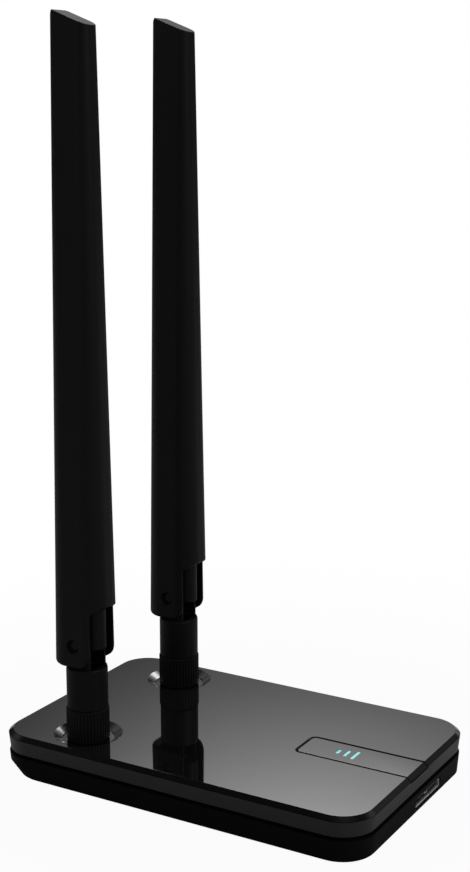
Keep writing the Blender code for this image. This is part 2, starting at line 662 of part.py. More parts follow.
def antenna_jack(name, y, mats):
    """The threaded jack on the board, with its insulator and pin."""
    place = (ANTENNA_X, y)
    base = PARTS_Z
    top = FACE_Z + JACK_TOP
    flange = base + JACK_FLANGE
    profile = [(JACK_BORE, base), (JACK_FLANGE_RADIUS, base), (JACK_FLANGE_RADIUS, flange)]
    profile += [(JACK_RADIUS, flange), (JACK_RADIUS, top), (JACK_BORE, top)]
    turned(f"jack_barrel_{name}", profile, mats["gold"], at=place)
    tube(f"jack_insulator_{name}", JACK_BORE - SEAT_GAP, CONTACT_RADIUS + SEAT_GAP, base,
         FACE_Z + JACK_INSULATOR_TOP, mats["white"], SMALL_STEPS, place)
    rod(f"jack_pin_{name}", CONTACT_RADIUS, BOARD_Z0 - CONTACT_TAIL, top - SEAT_GAP, mats["gold"], at=place)


def antenna_plug(name, axis, mats):
    """The plug's sleeve and shank, its insulator and its contact. Levels are above the plate's face."""
    sleeve_z0 = JACK_TOP - PLUG_SLEEVE_LENGTH
    flange_z0 = JACK_TOP + RUN_GAP
    flange_z1 = flange_z0 + PLUG_FLANGE
    sleeve = JACK_BORE - RUN_GAP
    bore = sleeve - PLUG_WALL
    fill_z1 = flange_z1 + PLUG_FILL
    shank_z1 = NUT_TOP + SHANK_RISE
    snap_z0 = shank_z1 - SNAP_HEIGHT
    wire = CONTACT_RADIUS + SOCKET_WALL
    profile = [(bore, sleeve_z0), (sleeve, sleeve_z0), (sleeve, flange_z0), (JACK_RADIUS, flange_z0)]
    profile += [(JACK_RADIUS, flange_z1), (PLUG_SHANK_RADIUS, flange_z1)]
    profile += [(PLUG_SHANK_RADIUS, snap_z0), (SNAP_RADIUS, snap_z0), (SNAP_RADIUS, shank_z1)]
    profile += [(wire, shank_z1), (wire, fill_z1), (bore, fill_z1)]
    core = turned(f"plug_core_{name}", profile, mats["gold"])
    socket = CONTACT_RADIUS + RUN_GAP
    outside = socket + SOCKET_WALL
    ends = (sleeve_z0, fill_z1 - SEAT_GAP)
    sizes = (bore - SEAT_GAP, outside + SEAT_GAP, *ends)
    insulator = tube(f"plug_insulator_{name}", *sizes, mats["white"], SMALL_STEPS)
    contact = tube(f"plug_contact_{name}", outside, socket, *ends, mats["gold"], SMALL_STEPS)
    put([core, insulator, contact], axis)


def fluted_ring(radius, depth, z):
    points = []
    for flute in range(NUT_FLUTES):
        for share, reach in ((0.0, radius), (0.5, radius), (0.75, radius - depth)):
            angle = 2 * math.pi * (flute + share) / NUT_FLUTES
            points.append((reach * math.cos(angle), reach * math.sin(angle), z))
    return points


def coupling_nut(name, axis, mats):
    z0 = -WELL_DEPTH + RUN_GAP
    rings = [
        fluted_ring(NUT_RADIUS - NUT_CHAMFER, 0.0, z0),
        fluted_ring(NUT_RADIUS, NUT_FLUTE_DEPTH, z0 + NUT_CHAMFER),
        fluted_ring(NUT_RADIUS, NUT_FLUTE_DEPTH, NUT_TOP - NUT_CHAMFER),
        fluted_ring(NUT_RADIUS - NUT_CHAMFER, 0.0, NUT_TOP),
    ]
    nut = loft(f"coupling_nut_{name}", rings, mats["black"])
    shoulder = NUT_TOP - NUT_LIP
    wide = JACK_RADIUS + RUN_GAP
    narrow = PLUG_SHANK_RADIUS + RUN_GAP
    profile = [(0.0, z0 - PAST), (wide, z0 - PAST), (wide, shoulder), (narrow, shoulder)]
    profile += [(narrow, NUT_TOP + PAST), (0.0, NUT_TOP + PAST)]
    put([nut, cut(nut, turned(f"nut_bore_{name}", profile))], axis)


def swivel_base(name, axis, mats):
    """The collar that turns on the plug, with the two ears that carry the hinge pin."""
    low = NUT_TOP + RUN_GAP
    mouth = PLUG_SHANK_RADIUS + RUN_GAP
    pocket = SNAP_RADIUS + RUN_GAP
    pocket_z1 = NUT_TOP + SHANK_RISE + RUN_GAP
    pocket_z0 = NUT_TOP + SHANK_RISE - SNAP_HEIGHT - RUN_GAP
    profile = [(mouth, low), (COLLAR_RADIUS, low), (COLLAR_RADIUS, COLLAR_TOP - SHOULDER_HEIGHT)]
    profile += [(COLLAR_RADIUS - SHOULDER_DRAW, COLLAR_TOP), (0.0, COLLAR_TOP), (0.0, pocket_z1)]
    profile += [(pocket, pocket_z1), (pocket, pocket_z0), (mouth, pocket_z0)]
    base = turned(f"swivel_base_{name}", profile, mats["satin"])
    root = (COLLAR_TOP + pocket_z1) / 2
    side = [(EAR_HALF, root)] + arc((0.0, PIN_HEIGHT), EAR_HALF, 0, 180, ROUND_STEPS // 2)
    side.append((-EAR_HALF, root))
    inner = WEB_HALF + RUN_GAP
    outer = inner + EAR_THICKNESS
    tools = [
        join(base, prism(f"ear_near_{name}", side, "Y", -outer, -inner)),
        join(base, prism(f"ear_far_{name}", side, "Y", inner, outer)),
    ]
    hole = cross_bar(f"ear_hole_{name}", PIN_RADIUS + PIN_FIT, -outer - PAST, outer + PAST, PIN_HEIGHT)
    tools.append(cut(base, hole))
    put([base] + tools, axis)


def cross_bar(name, radius, low, high, z, material=None):
    """A round bar along Y through the antenna's axis."""
    circle = arc((0.0, z), radius, 0, 360 - 360 / PIN_STEPS, PIN_STEPS - 1)
    return prism(name, circle, "Y", low, high, material)


def blade_section(z):
    """Half width, half depth and corner radius of the blade at a height above the hinge pin."""
    share = (z + CHEEK_DROP) / (BLADE_HEIGHT - PIN_HEIGHT + CHEEK_DROP)
    return [a + (b - a) * share for a, b in zip(BLADE_ROOT, BLADE_TIP)]


def blade_ring(z, slope=0.0):
    half_x, half_y, radius = blade_section(z)
    flat = rounded_outline(-half_x, half_x, -half_y, half_y, radius)
    return [(x, y, z - slope * x) for x, y in flat]


def blade_web(name):
    """The round-ended web between the ears, which the hinge pin also passes through."""
    back = EAR_HALF + RUN_GAP + PAST
    top = NOTCH_TOP + PAST
    end = WEB_REACH + PAST
    turn = math.degrees(math.asin(WEB_FOOT / WEB_EYE))
    start = WEB_EYE * math.cos(math.radians(turn))
    side = [(-back, -WEB_EYE)] + arc((0.0, 0.0), WEB_EYE, -90, turn, CORNER_STEPS)
    side += [(end, WEB_FOOT + WEB_RISE * (end - start)), (end, top), (-back, top)]
    plan = rounded_outline(-back - PAST, WEB_REACH, -WEB_HALF, WEB_HALF, WEB_HALF)
    web = prism(f"web_{name}", side, "Y", -WEB_HALF - PAST, WEB_HALF + PAST)
    return web, change(web, prism(f"web_plan_{name}", plan, "Z", -WEB_EYE - PAST, top + PAST), "INTERSECT")


def antenna_blade(name, axis, mats):
    """The tapering blade, forked round the ears. Levels are above the hinge pin."""
    tip = BLADE_HEIGHT - PIN_HEIGHT
    below_tip = tip - 2 * BLADE_TIP[0]
    rings = [blade_ring(-CHEEK_DROP), blade_ring(below_tip), blade_ring(tip, TIP_SLOPE)]
    blade = loft(f"blade_{name}", rings, mats["satin"])
    far = BLADE_ROOT[0] + PAST
    low = -CHEEK_DROP - PAST
    cheek_end = math.degrees(math.acos(CHEEK_CUT / CHEEK_DROP))
    notch = [(0.0, low), (far, low), (far, NOTCH_TOP), (CHEEK_CUT, NOTCH_TOP)]
    notch += arc((0.0, 0.0), CHEEK_DROP, -cheek_end, -90, CORNER_STEPS)
    slot_back = EAR_HALF + RUN_GAP
    slot = [(-slot_back, low), (far, low), (far, NOTCH_TOP), (-slot_back, NOTCH_TOP)]
    slot_half = WEB_HALF + EAR_THICKNESS + 2 * RUN_GAP
    web, web_plan = blade_web(name)
    tools = [
        cut(blade, prism(f"notch_{name}", notch, "Y", -far, far)),
        cut(blade, prism(f"ear_slot_{name}", slot, "Y", -slot_half, slot_half)),
        join(blade, web),
        cut(blade, cross_bar(f"pin_bore_{name}", PIN_RADIUS + PIN_FIT, -far, far, 0.0)),
    ]
    recess = blade_section(0.0)[1] - PIN_RECESS
    for side, start, end in (("near", -far, -recess), ("far", recess, far)):
        tools.append(cut(blade, cross_bar(f"pin_recess_{side}_{name}", PIN_RECESS_RADIUS, start, end, 0.0)))

    foot = NOTCH_TOP + RADIATOR_LIFT
    sleeve, sleeve_length = RADIATOR_SLEEVE
    stick, stick_length = RADIATOR_ROD
    neck = foot + sleeve_length
    end = neck + stick_length
    profile = [(0.0, foot), (sleeve, foot), (sleeve, neck), (stick, neck), (stick, end), (0.0, end)]
    radiator = turned(f"radiator_{name}", profile, mats["gold"], SMALL_STEPS)
    sleeve += RADIATOR_GAP
    stick += RADIATOR_GAP
    neck += RADIATOR_GAP
    end += RADIATOR_GAP
    mouth = NOTCH_TOP - PAST
    profile = [(0.0, mouth), (sleeve, mouth), (sleeve, neck), (stick, neck), (stick, end), (0.0, end)]
    tools.append(cut(blade, turned(f"radiator_bore_{name}", profile, steps=SMALL_STEPS)))
    reach = recess + PIN_PROUD
    pin = cross_bar(f"hinge_pin_{name}", PIN_RADIUS, -reach, reach, 0.0, mats["metal"])
    put([blade, radiator, pin, web_plan] + tools, axis)


def main():
    clear_scene()
    mats = {
        "gloss": make_material("gloss_black", (0.012, 0.012, 0.013), 0.05),
        "satin": make_material("satin_black", (0.016, 0.016, 0.017), 0.42),
        "black": make_material("moulded_black", (0.015, 0.015, 0.015), 0.5),
        "rubber": make_material("foot_rubber", (0.02, 0.02, 0.02), 0.8),
        "light": make_material("light_bar", (0.25, 0.75, 0.78), 0.25),
        "board": make_material("board_green", (0.02, 0.12, 0.05), 0.5),
        "metal": make_material("plated_steel", (0.62, 0.62, 0.6), 0.3, 1.0),
        "chrome": make_material("bezel_chrome", (0.7, 0.7, 0.7), 0.08, 1.0),
        "gold": make_material("gold_plated_brass", (0.8, 0.6, 0.25), 0.25, 1.0),
        "white": make_material("insulator_white", (0.8, 0.8, 0.78), 0.4),
    }
    bottom_shell(mats)
    upper_shell(mats)
    top_plate(mats)
    pairing_key(mats)
    circuit_board(mats)
    usb_socket(mats)
    screws_and_feet(mats)
    for name, y in ANTENNAS.items():
        antenna_jack(name, y, mats)
        axis = make_axis(f"antenna_axis_{name}", (ANTENNA_X, y, FACE_Z))
        antenna_plug(name, axis, mats)
        coupling_nut(name, axis, mats)
        swivel_base(name, axis, mats)
        fold = make_axis(f"fold_axis_{name}", (0.0, 0.0, PIN_HEIGHT), axis)
        antenna_blade(name, fold, mats)


main()
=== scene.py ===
import math

import bmesh
import bpy
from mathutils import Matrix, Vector


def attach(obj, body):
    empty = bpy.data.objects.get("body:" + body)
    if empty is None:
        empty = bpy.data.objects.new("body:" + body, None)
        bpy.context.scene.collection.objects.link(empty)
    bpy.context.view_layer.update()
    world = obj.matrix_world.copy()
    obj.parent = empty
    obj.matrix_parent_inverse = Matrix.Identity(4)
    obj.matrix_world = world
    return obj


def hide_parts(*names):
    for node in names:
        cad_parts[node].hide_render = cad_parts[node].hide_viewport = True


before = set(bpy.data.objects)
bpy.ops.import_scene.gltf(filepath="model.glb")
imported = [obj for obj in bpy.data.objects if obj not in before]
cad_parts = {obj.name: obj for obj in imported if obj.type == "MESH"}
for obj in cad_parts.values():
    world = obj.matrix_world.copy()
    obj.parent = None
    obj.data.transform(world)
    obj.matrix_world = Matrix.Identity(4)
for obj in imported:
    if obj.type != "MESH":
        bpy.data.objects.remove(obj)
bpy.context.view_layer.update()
mm = 0.001  # all sizes below are in millimetres


# modelling helpers

def freshStart():
    if bpy.context.mode != "OBJECT":
        bpy.ops.object.mode_set(mode="OBJECT")
    bpy.ops.object.select_all(action="DESELECT")


def settle(name):  # the primitive's place goes into its mesh, then edit mode
    bpy.ops.object.transform_apply(location=True, rotation=True, scale=True)
    piece = bpy.context.object
    piece.name = piece.data.name = name
    bpy.ops.object.mode_set(mode="EDIT")
    return piece


def pick(piece, test, kind="FACE"):  # test gets the item's middle in mm, and the item
    bpy.ops.mesh.select_mode(type=kind)
    bpy.ops.mesh.select_all(action="DESELECT")
    mesh = bmesh.from_edit_mesh(piece.data)
    for item in {"VERT": mesh.verts, "EDGE": mesh.edges, "FACE": mesh.faces}[kind]:
        points = [item.co] if kind == "VERT" else [v.co for v in item.verts]
        item.select_set(bool(test(sum(points, Vector()) / len(points) / mm, item)))
    bmesh.update_edit_mesh(piece.data)


def closeUp(piece):  # doubles merged, faces outwards, back to object mode
    bpy.ops.mesh.select_mode(type="VERT")
    bpy.ops.mesh.select_all(action="SELECT")
    bpy.ops.mesh.remove_doubles(threshold=1e-7)
    bpy.ops.mesh.normals_make_consistent(inside=False)
    bpy.ops.object.mode_set(mode="OBJECT")
    return piece


def layRing(ring, steps):  # one outline, in edit mode: a round-cornered rectangle or a circle
    bpy.ops.mesh.select_mode(type="VERT")
    bpy.ops.mesh.select_all(action="DESELECT")
    if len(ring) == 6:
        x0, x1, y0, y1, radius, z = ring
        middle = Vector(((x0 + x1) / 2, (y0 + y1) / 2, z)) * mm
        bpy.ops.mesh.primitive_plane_add(size=mm, location=middle)
        bpy.ops.transform.resize(value=(x1 - x0, y1 - y0, 1), center_override=middle)
        bpy.ops.mesh.bevel(offset=radius * mm, segments=steps, affect="VERTICES", clamp_overlap=False)
        bpy.ops.mesh.delete(type="ONLY_FACE")
    else:
        x, y, radius, z = ring
        middle = Vector((x, y, z)) * mm
        bpy.ops.mesh.primitive_circle_add(vertices=steps, radius=radius * mm, location=middle)


def ringStack(name, rings, steps=12, loop=False):  # outlines bridged one to the next, ends filled
    freshStart()
    bpy.ops.mesh.primitive_plane_add(size=mm)
    piece = settle(name)
    bpy.ops.mesh.delete(type="VERT")
    for i, ring in enumerate(rings):
        layRing((*ring[:-1], 30 * i), steps)  # laid well apart, so that nested outlines bridge straight
    count = len(bmesh.from_edit_mesh(piece.data).verts) // len(rings)
    pairs = [(i, i + 1) for i in range(len(rings) - 1)]
    if loop:
        pairs.append((len(rings) - 1, 0))
    for pair in pairs:
        pick(piece, lambda _, e: {v.index // count for v in e.verts} in ({pair[0]}, {pair[1]}), "EDGE")
        bpy.ops.mesh.bridge_edge_loops()
    if not loop:
        for end in (0, len(rings) - 1):
            pick(piece, lambda _, e: {v.index // count for v in e.verts} == {end}, "EDGE")
            bpy.ops.mesh.edge_face_add()
    for i, ring in enumerate(rings):
        pick(piece, lambda _, v: v.index // count == i, "VERT")
        bpy.ops.transform.translate(value=(0, 0, (ring[-1] - 30 * i) * mm))
    return closeUp(piece)


def turned(name, profile, at=(0, 0), steps=64, loop=False):  # (radius, height) stations round an upright line
    return ringStack(name, [(*at, radius, z) for radius, z in profile], steps, loop)


def boxPiece(name, low, high):
    freshStart()
    bpy.ops.mesh.primitive_cube_add(
        size=1,
        location=[(a + b) / 2 * mm for a, b in zip(low, high)],
        scale=[(b - a) * mm for a, b in zip(low, high)],
    )
    return closeUp(settle(name))


def crossBar(name, radius, y0, y1, at, steps=48):  # a round bar along Y, at gives x and z
    freshStart()
    bpy.ops.mesh.primitive_cylinder_add(
        vertices=steps,
        radius=radius * mm,
        depth=(y1 - y0) * mm,
        location=(at[0] * mm, (y0 + y1) / 2 * mm, at[1] * mm),
        rotation=(math.pi / 2, 0, 0),
    )
    return closeUp(settle(name))


def openUp(piece):  # edit mode on one piece
    freshStart()
    bpy.context.view_layer.objects.active = piece
    bpy.ops.object.mode_set(mode="EDIT")


def cutOff(piece, through, normal):  # cuts off what lies on the side the normal points to
    openUp(piece)
    bpy.ops.mesh.select_all(action="SELECT")
    bpy.ops.mesh.bisect(
        plane_co=Vector(through) * mm,
        plane_no=Vector(normal).normalized(),
        use_fill=True,
        clear_outer=True,
        threshold=1e-7,
    )
    return closeUp(piece)


def shape(piece, kind, **settings):  # a modifier, applied at once
    freshStart()
    bpy.context.view_layer.objects.active = piece
    piece.select_set(True)
    modifier = piece.modifiers.new(kind.lower(), kind)
    for key, value in settings.items():
        setattr(modifier, key, value)
    bpy.ops.object.modifier_apply(modifier=modifier.name)
    return piece


def carve(piece, *cutters):
    for cutter in cutters:
        shape(piece, "BOOLEAN", operation="DIFFERENCE", object=cutter)
        bpy.data.objects.remove(cutter, do_unlink=True)
    return piece


def weld(piece, *others):
    for other in others:
        shape(piece, "BOOLEAN", operation="UNION", object=other)
        bpy.data.objects.remove(other, do_unlink=True)
    return piece


def mend(piece, near=0.03):  # slivers left by the cuts are merged away
    openUp(piece)
    bpy.ops.mesh.select_mode(type="VERT")
    bpy.ops.mesh.select_all(action="SELECT")
    bpy.ops.mesh.remove_doubles(threshold=near * mm)
    bpy.ops.mesh.dissolve_degenerate(threshold=near * mm)
    bpy.ops.mesh.select_all(action="SELECT")
    bpy.ops.mesh.dissolve_limited(angle_limit=math.radians(1))
    return closeUp(piece)


def soften(piece, width, segments=2, angle=30, smooth=30, clamp=True):  # small round on the edges
    shape(
        piece, "BEVEL", width=width * mm, segments=segments, limit_method="ANGLE",
        angle_limit=math.radians(angle), use_clamp_overlap=clamp, miter_outer="MITER_ARC",
    )
    return polish(piece, smooth)


def polish(piece, smooth=30):
    freshStart()
    piece.select_set(True)
    bpy.context.view_layer.objects.active = piece
    bpy.ops.object.shade_smooth_by_angle(angle=math.radians(smooth))
    shape(piece, "WEIGHTED_NORMAL", mode="FACE_AREA", weight=50, keep_sharp=True)  # large faces stay flat
    return piece


def copyOf(piece, name, shift):  # same shape elsewhere, with its own mesh
    freshStart()
    piece.select_set(True)
    bpy.context.view_layer.objects.active = piece
    bpy.ops.object.duplicate()
    bpy.ops.transform.translate(value=Vector(shift) * mm)
    twin = settle(name)
    bpy.ops.object.mode_set(mode="OBJECT")
    return twin


def dress(piece, body, slot, material, *nodes):  # finish, body and the solids it stands for
    piece.data.materials.clear()
    piece.data.materials.append(material)
    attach(piece, body)
    if nodes:
        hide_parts(*nodes)
    return piece


# shader helpers

class Wire:  # a socket that arithmetic can be written on
    def __init__(self, tree, socket=None):
        self.tree, self.socket = tree, socket

    def make(self, kind, settings=None, values=None, out=0):
        node = self.tree.nodes.new(kind)
        for key, value in (settings or {}).items():
            setattr(node, key, value)
        for key, value in (values or {}).items():
            if isinstance(value, Wire):
                self.tree.links.new(value.socket, node.inputs[key])
            else:
                node.inputs[key].default_value = value
        return Wire(self.tree, None if out is None else node.outputs[out])

    def math(self, operation, a, b):
        return self.make("ShaderNodeMath", {"operation": operation}, {0: a, 1: b})

    def __add__(self, other):
        return self.math("ADD", self, other)

    def __sub__(self, other):
        return self.math("SUBTRACT", self, other)

    def __rsub__(self, other):
        return self.math("SUBTRACT", other, self)

    def __mul__(self, other):
        return self.math("MULTIPLY", self, other)

    def __lt__(self, other):
        return self.math("LESS_THAN", self, other)

    __radd__, __rmul__ = __add__, __mul__


def startMaterial(name):
    material = bpy.data.materials.new(name)
    material.use_nodes = True
    sheet = Wire(material.node_tree)
    return material, sheet, material.node_tree.nodes["Principled BSDF"]


def feed(sheet, shader, values):  # constants go on the sockets, wires are linked
    for key, value in values.items():
        if isinstance(value, Wire):
            sheet.tree.links.new(value.socket, shader.inputs[key])
        else:
            shader.inputs[key].default_value = value


def noise(sheet, place, size, detail=3.0):  # size is the width of a blotch in mm
    scale = 1 / (size * mm)
    return sheet.make("ShaderNodeTexNoise", values={"Vector": place, "Scale": scale, "Detail": detail})


def blend(sheet, share, low, high):
    return sheet.make("ShaderNodeMix", {"data_type": "RGBA"}, {0: share, 6: (*low, 1), 7: (*high, 1)}, out=2)


def relief(sheet, height, strength, depth):  # depth in mm
    distance = depth * mm
    return sheet.make("ShaderNodeBump", values={"Strength": strength, "Distance": distance, "Height": height})


# finishes

glossFinish = {
    "tone": (0.0035, 0.0035, 0.0038), "smudgeTone": (0.006, 0.006, 0.0063), "rough": 0.025, "smudge": 0.03,
    "smudgeSize": 14, "dust": 0.08, "dustScale": 900.0, "dustShare": 0.05,
    "coatLoss": 0.12, "coatRough": 0.015, "index": 1.5, "waveSize": 22, "wave": 0.02, "waveDeep": 0.05,
}


def glossBlack():  # mirror gloss with faint smudges and dust
    g = glossFinish
    material, sheet, shader = startMaterial("glossBlack")
    place = sheet.make("ShaderNodeTexCoord", out="Object")
    smudge = noise(sheet, place, g["smudgeSize"], 5)
    specks = sheet.make("ShaderNodeTexVoronoi", values={"Vector": place, "Scale": g["dustScale"]})
    dust = specks < g["dustShare"]
    wave = noise(sheet, place, g["waveSize"], 1)
    feed(sheet, shader, {
        "Base Color": blend(sheet, smudge, g["tone"], g["smudgeTone"]),
        "Roughness": g["rough"] + smudge * g["smudge"] + dust * g["dust"],
        "IOR": g["index"],
        "Coat Weight": 1 - smudge * g["coatLoss"],
        "Coat Roughness": g["coatRough"],
        "Coat IOR": g["index"],
        "Normal": relief(sheet, wave, g["wave"], g["waveDeep"]),
    })
    return material


def satinBlack(name, tone, rough, shine, grain, deep):  # moulded plastic with a fine spark-eroded grain
    material, sheet, shader = startMaterial(name)
    place = sheet.make("ShaderNodeTexCoord", out="Object")
    fine = noise(sheet, place, grain, 2)
    handled = noise(sheet, place, 18, 4)
    light = tuple(c * 1.5 for c in tone)
    feed(sheet, shader, {
        "Base Color": blend(sheet, handled * 0.6 + fine * 0.4, tone, light),
        "Roughness": rough - 0.06 + handled * 0.08 + fine * 0.06,
        "Specular IOR Level": shine,
        "Normal": relief(sheet, fine, 0.25, deep),
    })
    return material


rubberFinish = {
    "tone": (0.012, 0.012, 0.012), "worn": (0.034, 0.033, 0.032), "rough": 0.72, "wornRough": 0.2, "shine": 0.25,
    "grain": 0.35, "wornSize": 3.0, "bump": 0.5, "deep": 0.06,
}


def rubberGrey():
    r = rubberFinish
    material, sheet, shader = startMaterial("footRubber")
    place = sheet.make("ShaderNodeTexCoord", out="Object")
    fine = noise(sheet, place, r["grain"], 4)
    worn = noise(sheet, place, r["wornSize"], 3)
    feed(sheet, shader, {
        "Base Color": blend(sheet, worn, r["tone"], r["worn"]),
        "Roughness": r["rough"] + worn * r["wornRough"],
        "Specular IOR Level": r["shine"],
        "Normal": relief(sheet, fine, r["bump"], r["deep"]),
    })
    return material


def bareMetal(name, tone, dull, rough, drawn):  # plated metal with drawn lines and dull patches
    material, sheet, shader = startMaterial(name)
    place = sheet.make("ShaderNodeTexCoord", out="Object")
    along = sheet.make("ShaderNodeMapping", values={"Vector": place, "Scale": drawn})
    lines = noise(sheet, along, 0.25, 3)
    patch = noise(sheet, place, 2.2, 4)
    feed(sheet, shader, {
        "Base Color": blend(sheet, patch * 0.7 + lines * 0.3, tone, dull),
        "Roughness": rough + lines * 0.1 + patch * 0.06,
        "Metallic": 1.0,
        "Normal": relief(sheet, lines, 0.12, 0.01),
    })
    return material


insulatorFinish = {
    "tone": (0.74, 0.73, 0.69), "pale": (0.86, 0.85, 0.82), "rough": 0.35, "cloudRough": 0.15,
    "cloud": 1.2, "bump": 0.1, "deep": 0.02,
}


def whiteInsulator():
    w = insulatorFinish
    material, sheet, shader = startMaterial("whiteInsulator")
    place = sheet.make("ShaderNodeTexCoord", out="Object")
    cloud = noise(sheet, place, w["cloud"], 4)
    feed(sheet, shader, {
        "Base Color": blend(sheet, cloud, w["tone"], w["pale"]),
        "Roughness": w["rough"] + cloud * w["cloudRough"],
        "Normal": relief(sheet, cloud, w["bump"], w["deep"]),
    })
    return material


boardFinish = {
    "mask": (0.012, 0.075, 0.03), "track": (0.03, 0.17, 0.07), "pad": (0.66, 0.5, 0.22, 1),
    "trackScale": 420.0, "padScale": 330.0, "padShare": 0.16, "rough": 0.34, "padGloss": 0.1, "padMetal": 0.9,
    "bump": 0.3, "deep": 0.03,
}


def boardGreen():  # solder mask over copper tracks, with bare pads
    b = boardFinish
    material, sheet, shader = startMaterial("boardGreen")
    place = sheet.make("ShaderNodeTexCoord", out="Object")
    tracks = sheet.make("ShaderNodeTexBrick", {"offset": 0.37}, {
        "Vector": place, "Scale": b["trackScale"], "Mortar Size": 0.03, "Mortar Smooth": 0.2,
        "Color1": (0, 0, 0, 1), "Color2": (0.25, 0.25, 0.25, 1), "Mortar": (1, 1, 1, 1),
    })
    dots = sheet.make("ShaderNodeTexVoronoi", values={"Vector": place, "Scale": b["padScale"]})
    pads = dots < b["padShare"]
    mask = blend(sheet, tracks, b["mask"], b["track"])
    colour = sheet.make("ShaderNodeMix", {"data_type": "RGBA"}, {0: pads, 6: mask, 7: b["pad"]}, out=2)
    feed(sheet, shader, {
        "Base Color": colour,
        "Roughness": b["rough"] - pads * b["padGloss"],
        "Metallic": pads * b["padMetal"],
        "Normal": relief(sheet, tracks + pads, b["bump"], b["deep"]),
    })
    return material


chipFinish = {
    "tone": (0.012, 0.012, 0.013), "speck": (0.03, 0.03, 0.032), "rough": 0.5, "speckRough": 0.25,
    "grain": 0.12, "bump": 0.4, "deep": 0.03,
}


def chipBlack():
    c = chipFinish
    material, sheet, shader = startMaterial("chipBlack")
    place = sheet.make("ShaderNodeTexCoord", out="Object")
    speck = noise(sheet, place, c["grain"], 2)
    feed(sheet, shader, {
        "Base Color": blend(sheet, speck, c["tone"], c["speck"]),
        "Roughness": c["rough"] + speck * c["speckRough"],
        "Normal": relief(sheet, speck, c["bump"], c["deep"]),
    })
    return material


lightFinish = {
    "tone": (0.135, 0.50, 0.505), "pale": (0.26, 0.65, 0.645), "glow": 0.55,
    "cloud": 0.8, "rough": 0.22, "cloudRough": 0.12,
}


def tealLight():  # lit bars, paler in faint clouds
    f = lightFinish
    material, sheet, shader = startMaterial("tealLight")
    place = sheet.make("ShaderNodeTexCoord", out="Object")
    cloud = noise(sheet, place, f["cloud"], 2)
    colour = blend(sheet, cloud, f["tone"], f["pale"])
    feed(sheet, shader, {
        "Base Color": colour,
        "Roughness": f["rough"] + cloud * f["cloudRough"],
        "Emission Color": colour,
        "Emission Strength": f["glow"],
    })
    return material


satinFinish = {  # grain is the width of a grain in mm, deep is how far it goes in
    "caseSatin": {"tone": (0.0045, 0.0045, 0.0047), "rough": 0.38, "shine": 0.42, "grain": 0.16, "deep": 0.012},
    "shellSatin": {"tone": (0.0035, 0.0035, 0.0037), "rough": 0.46, "shine": 0.03, "grain": 0.16, "deep": 0.012},
    "antennaSatin": {"tone": (0.005, 0.005, 0.0053), "rough": 0.44, "shine": 0.1, "grain": 0.2, "deep": 0.016},
    # the swivel's finish is the antenna satin made a little darker and duller: painted shade on the swivel
    # collar and ears
    "swivelShadedSatin": {"tone": (0.0045, 0.0045, 0.0047), "rough": 0.42, "shine": 0.08, "grain": 0.2, "deep": 0.014},
    "nutSatin": {"tone": (0.004, 0.004, 0.0042), "rough": 0.42, "shine": 0.1, "grain": 0.12, "deep": 0.012},
    "tongueBlack": {"tone": (0.008, 0.008, 0.008), "rough": 0.4, "shine": 0.5, "grain": 0.1, "deep": 0.01},
}
metalFinish = {  # drawn stretches the fine lines along one direction
    "platedSteel": {"tone": (0.62, 0.62, 0.6), "dull": (0.5, 0.5, 0.49), "rough": 0.22, "drawn": (0.15, 1, 1)},
    "bezelChrome": {"tone": (0.6, 0.6, 0.61), "dull": (0.5, 0.5, 0.51), "rough": 0.06, "drawn": (1, 1, 0.2)},
    "goldPlate": {"tone": (0.83, 0.62, 0.27), "dull": (0.7, 0.5, 0.2), "rough": 0.2, "drawn": (1, 1, 0.12)},
    "pinSteel": {
        "tone": (0.022, 0.022, 0.023), "dull": (0.014, 0.014, 0.014), "rough": 0.38, "drawn": (1, 0.2, 1),
    },
}
gloss = glossBlack()
satin = {name: satinBlack(name, **look) for name, look in satinFinish.items()}
rubber = rubberGrey()
steel, chrome, gold, pinSteel = (bareMetal(name, **look) for name, look in metalFinish.items())
insulator = whiteInsulator()
board = boardGreen()
chip = chipBlack()
teal = tealLight()
print("finishes ready")


# camera at the photograph's angle

cameraPlace = {
    "place": (154.1, -263.9, 140.75), "azimuth": 30.25, "pitch": 12.39,
    "lens": 63.02, "sensor": 36.0, "near": 0.01,
}


def setCamera():
    freshStart()
    bpy.ops.object.camera_add(location=Vector(cameraPlace["place"]) * mm)
    camera = bpy.context.object
    turn, pitch = math.radians(cameraPlace["azimuth"]), math.radians(cameraPlace["pitch"])
    ahead = Vector((-math.sin(turn) * math.cos(pitch), math.cos(turn) * math.cos(pitch), -math.sin(pitch)))
    camera.rotation_euler = ahead.to_track_quat("-Z", "Y").to_euler()
    camera.data.lens = cameraPlace["lens"]
    camera.data.sensor_width = cameraPlace["sensor"]
    camera.data.clip_start = cameraPlace["near"]
    bpy.context.scene.camera = camera
    print("camera set")


setCamera()


# case: outlines drawn in from the widest line

caseSize = {"length": 86.0, "width": 55.0, "corner": 7.5}
antennaX = -25.3
antennaY = {"front": -18.0, "rear": 18.0}
corners = {"left_front": (-1, -1), "left_rear": (-1, 1), "right_front": (1, -1), "right_rear": (1, 1)}
screwSpot = {"left": -10.0, "right": 35.5, "side": 21.8}
footSpot = {"x": 29.5, "y": 19.1}


def caseRing(inset, z, toe=0.0):
    x, y = caseSize["length"] / 2 - inset, caseSize["width"] / 2 - inset
    return (-x + toe, x, -y, y, caseSize["corner"] - inset, z)


def screwPlaces():
    return {
        name: (screwSpot["left" if sx < 0 else "right"], sy * screwSpot["side"])
        for name, (sx, sy) in corners.items()
    }


